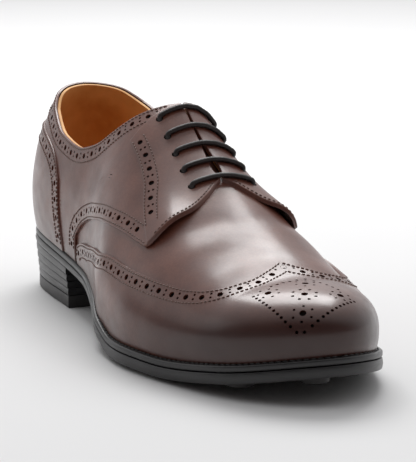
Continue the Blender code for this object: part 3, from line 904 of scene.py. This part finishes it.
def sole_leather(name):
    """Black burnished edges, wiped with wax."""
    layers = (NOISE, 90, 4, (1, 1, 14))
    tint = (layers, 0.3, 0.7, (0.006, 0.0055, 0.006), (0.018, 0.017, 0.018))
    wear, bumps = (layers, 0.3, 0.7, 0.28, 0.42), [(layers, 0.16, 0.00025)]
    return finish_of(name, (0.006, 0.0055, 0.006), 0.30, tint, wear, bumps, specular=0.55)[0]


def sole_rubber(name):
    tint = ((NOISE, 160, 5), 0.35, 0.7, (0.024, 0.022, 0.022), (0.044, 0.041, 0.040))
    return finish_of(name, (0.020, 0.018, 0.018), 0.45, tint, None, [((NOISE, 1400, 2), 0.15, 0.0002)])[0]


def thread(name, colour, roughness=0.6):
    twist = (NOISE, 2600, 2)
    tint = (twist, 0.35, 0.65, tuple(0.7 * c for c in colour), colour)
    return finish_of(name, colour, roughness, tint, None, [(twist, 0.3, 0.0001)])[0]


def brass(name):
    wear = ((NOISE, 1500), 0.3, 0.7, 0.22, 0.45)
    return finish_of(name, (0.60, 0.42, 0.17), 0.30, None, wear, metallic=1.0)[0]


def floor_paint(name):
    tint = ((NOISE, 3, 2), 0.3, 0.7, (0.755, 0.755, 0.755), (0.765, 0.765, 0.765))
    return finish_of(name, (0.76, 0.76, 0.76), 0.85, tint, specular=0.1)[0]


# The upper


def burnish_and_shade(piece, function):
    """Writes how dark each point of a piece is painted, real burnish and painted shade together, from its
    place.
    """
    points = np.empty(len(piece.data.vertices) * 3, np.float32)
    piece.data.vertices.foreach_get("co", points)
    points = points.reshape(-1, 3)
    layer = piece.data.attributes.new("burnish_and_shade", "FLOAT", "POINT")
    layer.data.foreach_set("value", np.clip(function(points), 0, 1).astype(np.float32))


# Burnish and painted shade: how dark, and how far it reaches, in a band over the welt and one round the
# toe's sides
LOW_BURNISH_AND_SHADE, LOW_REACH = 0.45, 0.012
TOE_SIDE_SHADE, TOE_REACH, TOE_BAND = 0.90, 0.013, 0.013
TOE_FROM, TOE_RUN = 0.62, 0.25


def low_burnish_and_shade(points):
    """Darkest just above the welt, partly real burnish and partly painted shade where the upper curves in to
    the welt, and painted shade at the sides of the toe, where they reflect the dark room in front.
    """
    along = points[:, 0] / LENGTH + HEEL_REST
    above = points[:, 2] - welt_top(np.clip(along, 0, 1))
    low = np.exp(-((above / LOW_REACH) ** 2)) * LOW_BURNISH_AND_SHADE
    toe = np.clip((along - TOE_FROM) / TOE_RUN, 0, 1)
    # Painted shade on the toe's sides.
    toe_side_shade = toe * np.exp(-(((above - TOE_BAND) / TOE_REACH) ** 2)) * TOE_SIDE_SHADE
    return low + toe_side_shade


def throat_shade(points):
    """Painted shade on the vamp's tab in the foot of the slot, which lies in the dark."""
    behind = (station_x(THROAT + 0.006) - points[:, 0]) / 0.002
    return np.clip(behind, 0, 1) * np.clip((0.008 - np.abs(points[:, 1] - 0.003)) / 0.002, 0, 1)


def both_sides(along, up):
    """Joins one side's grids to the other's, columns running round the toe."""
    side = np.repeat((LATERAL, MEDIAL), along.shape[1])
    return (
        side,
        np.concatenate([along, along[:, ::-1]], axis=1),
        np.concatenate([up, up[:, ::-1]], axis=1),
    )


def build_lining(tan):
    stations = np.union1d(along_of(np.linspace(0, math.pi, 130)), np.linspace(0.42, 0.62, 40))
    side = np.repeat((LATERAL, MEDIAL), len(stations))
    along = np.concatenate([stations, stations[::-1]])
    narrower = LINING_BACK * np.clip((THROAT - along) / THROAT_RUN, 0, 1)
    top = top_edge(side, along, opening_in_upper(along) + narrower)
    share = crowded(44, 0.02, both=False)
    up = (1 - share[::-1])[:, None] * top

    places, inside = (side, along, up), layer(-WALL)
    lining = sheet("upper_lining", tan, places, inside, layer(LINING_LIFT), ["head"], 0.0009)
    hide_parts("upper")


def build_vamp(brown):
    """From under the facings to under the toe cap."""
    rows = np.linspace(0, 1, 80)
    up = np.concatenate([rows, rows[-2::-1]])[:, None]
    side = np.where(np.arange(len(up)) < len(rows), LATERAL, MEDIAL)[:, None]
    hidden = 0.05 - 0.041 * np.clip((up - 0.90) / 0.04, 0, 1)
    start = np.maximum(0.30, smooth(QUARTER_EDGE, 1, up) - hidden)
    end = smooth(WING_EDGE, 1, up) + 0.03
    along = start + np.linspace(0, 1, 110) * (end - start)
    vamp = sheet("vamp", brown, (side, along, up), VAMP_INSIDE, vamp_top, [])
    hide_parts("upper")
    # Burnish and painted shade low down, and painted shade on the tab in the slot.
    burnish_and_shade(vamp, lambda points: low_burnish_and_shade(points) + throat_shade(points))


def build_toe_cap(brown, columns=120):
    up = np.union1d(np.linspace(0, 0.22, 60), np.linspace(0.22, 1, 80))[:, None]
    start = angle_of(smooth(WING_EDGE, 1, up))
    share = crowded(columns, 0.012, both=False)
    angle = start + share * (math.pi - start)
    places = both_sides(along_of(angle), up + 0 * angle)
    cap = sheet("toe_cap_leather", brown, places, CAP_INSIDE, cap_top, ["start", "finish"])
    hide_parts("toe_cap")
    return cap


def build_counter(brown, rows=70, columns=90):
    row = crowded(rows, 0.02)[:, None]
    share = crowded(columns, 0.012)
    share = np.abs(2 * share - 1)
    corner = COUNTER_TOP[-1, 0]
    front = COUNTER_FOOT + (corner - COUNTER_FOOT) * row**2
    along = along_of(share * angle_of(front))
    top = smooth(COUNTER_TOP, 1, along_of(share * angle_of(corner)))
    up = row * top
    side = np.where(np.arange(len(share)) < len(share) / 2, MEDIAL, LATERAL)
    places, rounded = (side, along, up), ["head", "start", "finish"]
    counter = sheet("heel_counter_leather", brown, places, COUNTER_INSIDE, counter_top, rounded)
    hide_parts("heel_counter")
    return counter


def front_places(side, columns, start, level):
    """Places in columns from a start along to the quarter's front edge, level giving the rows."""
    front = smooth(QUARTER_EDGE, 1, 0.5)
    for _ in range(40):
        front = smooth(QUARTER_EDGE, 1, level(front))
    along = start + columns * (front - start)
    up = level(along)
    if side == MEDIAL:
        along, up = along[:, ::-1], up[:, ::-1]
    return np.full(along.shape, side), along, up


def build_quarter(brown, side):
    name = "lateral" if side == LATERAL else "medial"
    rows = np.concatenate([np.linspace(0, 0.5, 100)[:-1], 1 - 0.5 * crowded(40, 0.016, both=False)])
    rows = np.unique(rows.round(6))[:, None]

    def top(along):
        return top_edge(side, along, opening_between_facings(along))

    coarse = np.linspace(0, 1, 25)

    def level(along):
        soft = np.interp(along, coarse, top(coarse))
        bend = np.clip((rows - LEVEL_ROWS) / (1 - LEVEL_ROWS), 0, 1)
        return rows + (soft - 1) * bend + (top(along) - soft) * rows**12

    places = front_places(side, crowded(150, 0.008), BACK_SEAM, level)
    front = "finish" if side == LATERAL else "start"

    inside = layer(QUARTER_INSIDE, springs=True)
    quarter = sheet(f"quarter_{name}_leather", brown, places, inside, quarter_top, ["head", front])
    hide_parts(f"quarter_{name}")
    return quarter


def eyestay_low(side, along):
    return up_at_distance(side, along, smooth(EYESTAY_EDGE, 1, along))


def build_eyestay(brown, side):
    name = "lateral" if side == LATERAL else "medial"

    rows = crowded(50, 0.03)[:, None]

    def level(along):
        high = top_edge(side, along, opening_between_facings(along))
        low = np.minimum(eyestay_low(side, along), high - 0.01)
        return low + rows * (high - low)

    places = front_places(side, crowded(90, 0.02), EYESTAY_BACK, level)
    inside = layer(EYESTAY_INSIDE, springs=True)
    rounded = ["head", "foot", "start", "finish"]
    eyestay = sheet(f"eyestay_{name}", brown, places, inside, eyestay_top, rounded, 0.0005)
    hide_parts(f"quarter_{name}")
    return eyestay


# Paths of the seams, as arrays of along and up


def wing_path():
    up = np.linspace(0.02, 0.9995, 240)
    return smooth(WING_EDGE, 1, up), up


def quarter_path(low, high):
    up = np.linspace(low, high, 160)
    return smooth(QUARTER_EDGE, 1, up), up


def collar_path(side):
    along = np.linspace(0.004, 0.452, 160)
    return along, top_edge(side, along, 0)


def counter_path():
    """From the back seam along the top and down the front to the welt."""
    corner = COUNTER_TOP[-1, 0]
    along = along_of(np.linspace(0.06, 1, 120) * angle_of(corner))
    top = smooth(COUNTER_TOP, 1, along)
    row = np.linspace(1, 0.03, 60)[1:]
    front = COUNTER_FOOT + (corner - COUNTER_FOOT) * row**2
    return np.concatenate([along, front]), np.concatenate([top, row * COUNTER_TOP[-1, 1]])


def eyestay_path(side):
    along = np.linspace(0.462, 0.625, 120)
    return along, eyestay_low(side, along)


def ring_of(x, y, radius, count, size, turned_by=0.0):
    turns = 2 * math.pi * (np.arange(count) + turned_by) / count
    return [(x + radius * math.cos(t), y + radius * math.sin(t), size) for t in turns]


def medallion(punches):
    """A traditional diamond of small holes round a few large ones, on the toe's top, in millimetres."""
    big, middle, small = 1.55, 0.75, 0.62
    spots = [(0.0, 0.0, big), (14.5, 0.0, big), (-14.5, 0.0, big)]
    spots += ring_of(0.0, 0.0, 5.2, 8, middle, 0.5)
    for x in (14.5, -14.5):
        spots += ring_of(x, 0.0, 4.3, 6, small)
    for side in (LATERAL, MEDIAL):
        spots.append((-3.0, side * 15.0, big))
        spots += ring_of(-3.0, side * 15.0, 4.3, 7, small, 0.5)
        for t in np.linspace(0, 1, 12):
            spots.append((22.5 - 24.0 * t, side * (1.6 + 19.5 * t**0.8), middle))
        for t in np.linspace(0.1, 1, 8):
            spots.append((-22.0 + 18.0 * (1 - t), side * 20.5 * (1 - t) ** 0.85, middle))
    facing = np.array(MEDALLION_FACING) / np.linalg.norm(MEDALLION_FACING)
    sideways = np.cross(facing, (1.0, 0.0, 0.0))
    sideways /= np.linalg.norm(sideways)
    places, normals, away = toe_samples(facing)
    forward_of, beside = away @ np.cross(sideways, facing), away @ sideways
    turn = math.radians(MEDALLION_TURN)
    kept = []
    for x, y, size in spots:
        if any(math.hypot(x - a, y - b) < MEDALLION_CLEAR for a, b in kept):
            continue
        kept.append((x, y))
        x, y = MEDALLION_STRETCH[0] * x / 1000, MEDALLION_STRETCH[1] * y / 1000
        ahead = x * math.cos(turn) - y * math.sin(turn)
        across = x * math.sin(turn) + y * math.cos(turn)
        i = int(np.argmin((forward_of - ahead) ** 2 + (beside - across) ** 2))
        punches.add([places[i]], [normals[i]], size / 1000)


def toe_samples(facing):
    """Places and normals over the cap that face the medallion's way, and how far from its middle."""
    along = along_of(np.linspace(angle_of(0.80), math.pi, 300))
    along, up = np.meshgrid(along, np.linspace(0.20, 0.999, 300))
    halves = [lifted(side, along, up, cap_top) for side in (LATERAL, MEDIAL)]
    places, normals = (np.concatenate([half[k].reshape(-1, 3) for half in halves]) for k in (0, 1))
    middle = places[np.argmin(np.linalg.norm(places[:, :2] - MEDALLION_PLACE, axis=1))]
    seen = (normals @ facing) > 0.2
    return places[seen], normals[seen], places[seen] - middle


def border(kind, side, path, turn, top, stitches, punches):
    """Two seams beside a path and the punched row between them."""
    seams, middle, seam_ends, row_ends = BORDERS[kind]
    for distance in seams:
        stitches.row(side, *offset(side, *path, distance, turn), top, *seam_ends)
    punches.row(side, *offset(side, *path, middle, turn), top, *row_ends)


def build_upper(brown, tan, dark, seam_thread):
    build_lining(tan)
    build_vamp(brown)
    cap, counter = build_toe_cap(brown), build_counter(brown)
    stitches = Stitches("seam_stitches", seam_thread)
    cap_punches, counter_punches = Punches(), Punches()
    for side in (LATERAL, MEDIAL):
        border("wing", side, wing_path(), side, cap_top, stitches, cap_punches)
        border("counter", side, counter_path(), side, counter_top, stitches, counter_punches)
    medallion(cap_punches)
    for punches, piece in ((cap_punches, cap), (counter_punches, counter)):
        punches.cut(piece, dark, 0.0012)
        # Burnish and painted shade low on the upper and on the toe's sides.
        burnish_and_shade(piece, low_burnish_and_shade)
    for side in (LATERAL, MEDIAL):
        build_side(side, brown, dark, stitches)
    stitches.finish_piece()


def build_side(side, brown, dark, stitches):
    quarter, eyestay = build_quarter(brown, side), build_eyestay(brown, side)
    punches, eyestay_punches = Punches(), Punches()
    border("collar", side, collar_path(side), side, quarter_top, stitches, punches)
    border("lobe", side, quarter_path(0.05, 0.535), -side, quarter_top, stitches, punches)
    front = quarter_path(0.56, 0.955)
    stitches.row(side, *offset(side, *front, 0.0013, -side), eyestay_top, 0.004, 0.0)
    border("eyestay", side, eyestay_path(side), -side, eyestay_top, stitches, eyestay_punches)
    for along, away in eyelets():
        along = np.array([along])
        up = up_at_distance(side, along, away)
        for holes, top in ((eyestay_punches, eyestay_top), (punches, quarter_top)):
            holes.add(*lifted(side, along, up, top), EYELET_RADIUS)
    punches.cut(quarter, dark, 0.0011)
    eyestay_punches.cut(eyestay, dark, 0.0007)
    for piece in (quarter, eyestay):
        # Burnish and painted shade low on the upper.
        burnish_and_shade(piece, low_burnish_and_shade)


def build_tongue(brown, rows=60, columns=50):
    along = np.linspace(TONGUE_TOP, TONGUE_FOOT, rows)[:, None]
    across = np.linspace(-1, 1, columns)
    side = np.where(across < 0, LATERAL, MEDIAL)
    up = up_at_distance(side, along, TONGUE_HALF_WIDTH * np.abs(across))
    deep = hidden_lace_lift() - LACE_RADIUS - GAP
    seat = -WALL - TONGUE_SEAT
    share = np.clip((along - THROAT - 0.02) / (TONGUE_FOOT - THROAT - 0.04), 0, 1)
    swell = np.clip(1 - (across / 0.42) ** 2, 0, 1) ** 2
    lift = deep + (seat - deep) * share + TONGUE_SWELL * swell * (1 - share)
    grids = np.broadcast_arrays(side, along, up, lift)
    side, along, up, lift = (grid.T for grid in grids)
    tongue = sheet("tongue_leather", brown, (side, along, up), lift - TONGUE, lambda *_: lift, ["start"])
    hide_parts("tongue")
    # The tongue is darkened evenly all over.
    burnish_and_shade(tongue, lambda points: 0.35 + 0 * points[:, 0])


# The lace


def lace_lift():
    return SEAT + OVERLAY + LACE_GAP + LACE_RADIUS


def hidden_lace_lift():
    return -(WALL + LACE_GAP + LACE_RADIUS)


def eyelets():
    share = np.linspace(0, 1, BARS)
    along = EYELET_FIRST + share * (EYELET_LAST - EYELET_FIRST)
    return list(zip(along, EYELET_FOOT + share * (EYELET_TOP - EYELET_FOOT)))


def lace_route():
    """One lace in straight bars, running up under the facings from each bar to the next."""
    over, under = lace_lift(), hidden_lace_lift()
    route, side = [], LATERAL
    pairs = eyelets()
    for bar, (along, away) in enumerate(pairs):
        for here, order in ((side, 1), (-side, -1)):
            up = up_at_distance(here, along, away)
            stops = [(up, under), (up, 0.4 * under), (up, 0.7 * over), (up + 0.012, over)]
            stops += [(up + (1 - up) * share, over) for share in (0.35, 0.70)]
            if order == 1:
                stops.append((1.0, over))
            route += [on_last(here, along, u, lift) for u, lift in stops[::order]]
        side = -side
        if bar + 1 < len(pairs):
            next_along, next_away = pairs[bar + 1]
            for share in (0.33, 0.67):
                between = along + share * (next_along - along)
                up = up_at_distance(side, between, away + share * (next_away - away))
                route.append(on_last(side, between, up, under - GAP / 2))
    return np.array(route)


def build_lace(finish, pitch=0.00055, sides=14):
    """A round waxed cord with the ridges of its plait."""
    route = lace_route()
    fine = np.arange(0, run_of(route)[-1], pitch)
    path = at_runs(route, fine)
    kernel = np.hanning(9) / np.hanning(9).sum()
    padded = np.concatenate([np.repeat(path[:1], 4, 0), path, np.repeat(path[-1:], 4, 0)])
    path = np.stack([np.convolve(padded[:, k], kernel, "valid") for k in range(3)], axis=-1)
    forward = np.gradient(path, axis=0)
    forward /= np.linalg.norm(forward, axis=1)[:, None]
    normal = Vector(forward[0]).orthogonal().normalized()
    points = []
    for i, (place, ahead) in enumerate(zip(path, forward)):
        ahead = Vector(ahead)
        normal = (normal - ahead * normal.dot(ahead)).normalized()
        second = ahead.cross(normal)
        for k in range(sides):
            turn = 2 * math.pi * k / sides
            wave = fine[i] * 2 * math.pi / PLAIT
            radius = LACE_RADIUS * (1 + PLAIT_DEPTH * math.sin(2 * turn + wave) * math.sin(2 * turn - wave))
            points.append(Vector(place) + (normal * math.cos(turn) + second * math.sin(turn)) * radius)
    faces = tube(0, len(path), sides)
    lace = new_mesh("lace_cord", [tuple(p) for p in points], faces, finish, 80)
    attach(lace, ROOT)
    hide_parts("lace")


# The sole


def stations_to(last=1.0, count=150):
    return along_of(np.linspace(0, angle_of(last), count))


def rounded_rings(top, bottom, inset=0.0, radius=0.0007, bulge=0.0, steps=5):
    """Rings down a rounded edge between two heights, fuller in the middle by the bulge."""
    turns = np.linspace(0, math.pi / 2, steps)
    rings = [(inset + radius * (1 - math.sin(t)), at(top, -radius * (1 - math.cos(t)))) for t in turns]
    if bulge:
        rings.append((inset - bulge, lambda along: (top(along) + bottom(along)) / 2))
    rings += [(inset + radius * (1 - math.cos(t)), at(bottom, radius * (1 - math.sin(t)))) for t in turns]
    return rings


def build_sole(black, rubber, tan, brass_finish, welt_thread):
    stations = stations_to()
    inner = ledge(stations) + WELT_REACH
    welt_foot = at(welt_top, -WELT)
    rings = [(inner, welt_top)] + rounded_rings(welt_top, welt_foot, 0.0, 0.0009) + [(inner, welt_foot)]
    welt = swept("welt_strip", black, stations, rings, hollow=True)
    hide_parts("welt")
    outsole = swept("outsole_edge", black, stations, outsole_rings())
    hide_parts("outsole")
    outsole.data.materials.append(rubber)
    for face in outsole.data.polygons:
        if face.normal.z < -0.8:
            face.material_index = 1
    insole = swept("insole_sock", tan, stations, insole_rings(inner))
    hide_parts("insole")
    build_studs(rubber)
    build_heel(black, rubber, brass_finish)
    welt_stitches(welt_thread)


def outsole_rings():
    """The edge, then in over the bottom to a groove that follows it."""
    rings = rounded_rings(sole_top, sole_bottom, 0.0, 0.0007, 0.00025)
    return rings + [(inset, at(sole_bottom, depth)) for inset, depth in SOLE_GROOVE]


def insole_rings(inner):
    return [
        (inner + 0.006, at(welt_top, INSOLE)),
        (inner + 0.001, at(welt_top, INSOLE - 0.0002)),
        (inner + GAP, at(welt_top, INSOLE - 0.0010)),
        (inner + GAP, at(sole_top, GAP)),
    ]


def stud_place(along, share, side):
    middle = (half_width(MEDIAL, along) - half_width(LATERAL, along)) / 2
    reach = (half_width(MEDIAL, along) + half_width(LATERAL, along)) / 2
    return float(station_x(along)), float(middle + side * share * reach)


def build_studs(rubber):
    """Round pads, each with a rim, a ring groove and a dimple."""
    r = STUD_RADIUS
    profile = [
        # radius, height over the foot
        (r, STUD_HEIGHT + 0.0012),
        (r, 0.0004),
        (r - 0.0004, 0.0),
        (r - 0.0014, 0.0),
        (r - 0.0017, 0.0009),
        (r - 0.0027, 0.0009),
        (r - 0.0030, 0.0),
        (0.0016, 0.0),
        (0.0011, 0.0005),
        (0.0002, 0.0006),
    ]
    places = [(*stud_place(a, s, w), float(sole_bottom(a)) - STUD_HEIGHT) for a, s, w in STUDS]
    studs = turned("sole_studs", rubber, profile, places)
    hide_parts("outsole")


def floor_level(along):
    return 0 * along


def build_heel(black, rubber, brass_finish):
    stations = stations_to(HEEL_BREAST, 70)

    def level(share, add):
        return lambda along: TOP_PIECE + share * (sole_bottom(along) - TOP_PIECE) + add

    for lift in range(HEEL_LIFTS):
        low, high = lift / HEEL_LIFTS, (lift + 1) / HEEL_LIFTS
        inset = HEEL_TAPER * (1 - (low + high) / 2) + GAP / 2
        rings = rounded_rings(level(high, -GAP / 2), level(low, GAP / 2), inset, 0.00035, 0.0001, 4)
        piece = swept(f"stacked_lift_{lift + 1}", black, stations, rings)
        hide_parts(f"heel_lift_{lift + 1}")
    rings = rounded_rings(at(floor_level, TOP_PIECE - GAP), floor_level, HEEL_TAPER, 0.0006)
    top_piece = swept("heel_rubber", rubber, stations, rings)
    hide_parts("heel_top_piece")
    r = STUD_RADIUS
    ring = [(r, 0.0003), (r, -0.00025), (r - 0.0012, -0.00025), (r - 0.0014, 0.0002)]
    studs = turned("heel_stud_rings", rubber, ring, [(*stud_place(a, s, w), 0.0) for a, s, w in HEEL_STUDS])
    nails = []
    for side in (LATERAL, MEDIAL):
        x, y = edge(side, np.array(NAILS), NAIL_INSET)
        nails += [(float(a), float(b), 0.0) for a, b in zip(x, y)]
    head = [(0.0013, 0.0004), (0.0013, 0.0), (0.0010, -0.00015), (0.0003, -0.0002)]
    turned("heel_nails", brass_finish, head, nails, 16)


def welt_stitches(finish):
    """The seam that runs round on top of the welt."""
    stitches = Stitches("welt_stitches", finish, WELT_STITCH, WELT_STITCH_RADIUS, 0.8, capped=False)
    for side in (LATERAL, MEDIAL):
        along = along_of(np.linspace(0.02, math.pi - 0.02, 500))
        x, y = edge(side, along, 0.5 * ledge(along))
        path = np.stack([x, y, welt_top(along)], axis=-1)
        length = run_of(path)[-1]
        places = at_runs(path, np.linspace(0, length, int(length / WELT_STITCH)))
        stitches.lay(places, np.broadcast_to((0.0, 0.0, 1.0), places.shape))
    stitches.finish_piece()


# Studio


def light_room(tree):
    """A pale room, bright overhead and behind the shoe, dark in front of it."""
    coordinates = tree.nodes.new("ShaderNodeTexCoord").outputs["Generated"]
    toward = tree.nodes.new("ShaderNodeVectorMath")
    toward.operation = "DOT_PRODUCT"
    toward.inputs[1].default_value = BRIGHT_SIDE
    tree.links.new(coordinates, toward.inputs[0])
    shade = ramp(tree, toward.outputs["Value"], 0.0, 0.5, (0.12, 0.11, 0.11), (0.76, 0.76, 0.77))
    tree.links.new(shade, tree.nodes["Background"].inputs["Color"])


def build_studio():
    scene = bpy.context.scene
    scene.view_settings.view_transform = "Standard"
    bpy.ops.mesh.primitive_plane_add(size=12, location=(0, 0, 0))
    floor = bpy.context.active_object
    floor.name = "floor"
    floor.data.materials.append(floor_paint("pale_floor"))
    world = bpy.data.worlds.new("studio")
    scene.world = world
    world.use_nodes = True
    light_room(world.node_tree)
    lamps = [
        # name, place, aim, width, height, watts
        ("overhead", (-0.80, 0.35, 1.30), (0.12, 0.00, 0.05), 1.1, 0.8, 21.0),
        ("side", (-0.90, -1.60, 0.80), (0.10, 0.00, 0.04), 1.2, 0.8, 1.5),
    ]
    for name, place, aim, width, height, watts in lamps:
        data = bpy.data.lights.new(name, "AREA")
        data.shape = "RECTANGLE"
        data.size, data.size_y, data.energy = width, height, watts
        lamp = bpy.data.objects.new(name, data)
        scene.collection.objects.link(lamp)
        lamp.location = place
        lamp.rotation_euler = (Vector(aim) - Vector(place)).to_track_quat("-Z", "Y").to_euler()


BRIGHT_SIDE = (-0.58, 0.38, 0.72)
FRAME_HEIGHT_PX = 462
FOCAL_PX = 2560  # at the photo's frame
CAMERA_PLACE = (1.1990, -0.4660, 0.2850)
CAMERA_AIM = (0.1098, 0.0113, 0.0480)


def build_camera():
    data = bpy.data.cameras.new("camera")
    data.sensor_width = 36
    data.lens = FOCAL_PX * data.sensor_width / FRAME_HEIGHT_PX
    data.clip_end = 50
    camera = bpy.data.objects.new("camera", data)
    bpy.context.scene.collection.objects.link(camera)
    camera.location = CAMERA_PLACE
    camera.rotation_euler = (Vector(CAMERA_AIM) - Vector(CAMERA_PLACE)).to_track_quat("-Z", "Y").to_euler()
    bpy.context.scene.camera = camera


build_camera()
build_studio()
BROWN = calf("brown_calf")
TAN = lining_leather("tan_lining")
BLACK = sole_leather("black_edge")
RUBBER = sole_rubber("sole_rubber")
# Near-black painted shade for the bottoms of the punched holes.
DARK = painted_hole_shade("punched_backing")
SEAM_THREAD = thread("seam_thread", (0.17, 0.095, 0.075))
WELT_THREAD = thread("welt_thread", (0.030, 0.028, 0.028))
LACE = thread("waxed_lace", (0.020, 0.013, 0.012), 0.45)
BRASS = brass("nail_brass")
build_upper(BROWN, TAN, DARK, SEAM_THREAD)
build_tongue(BROWN)
build_lace(LACE)
build_sole(BLACK, RUBBER, TAN, BRASS, WELT_THREAD)
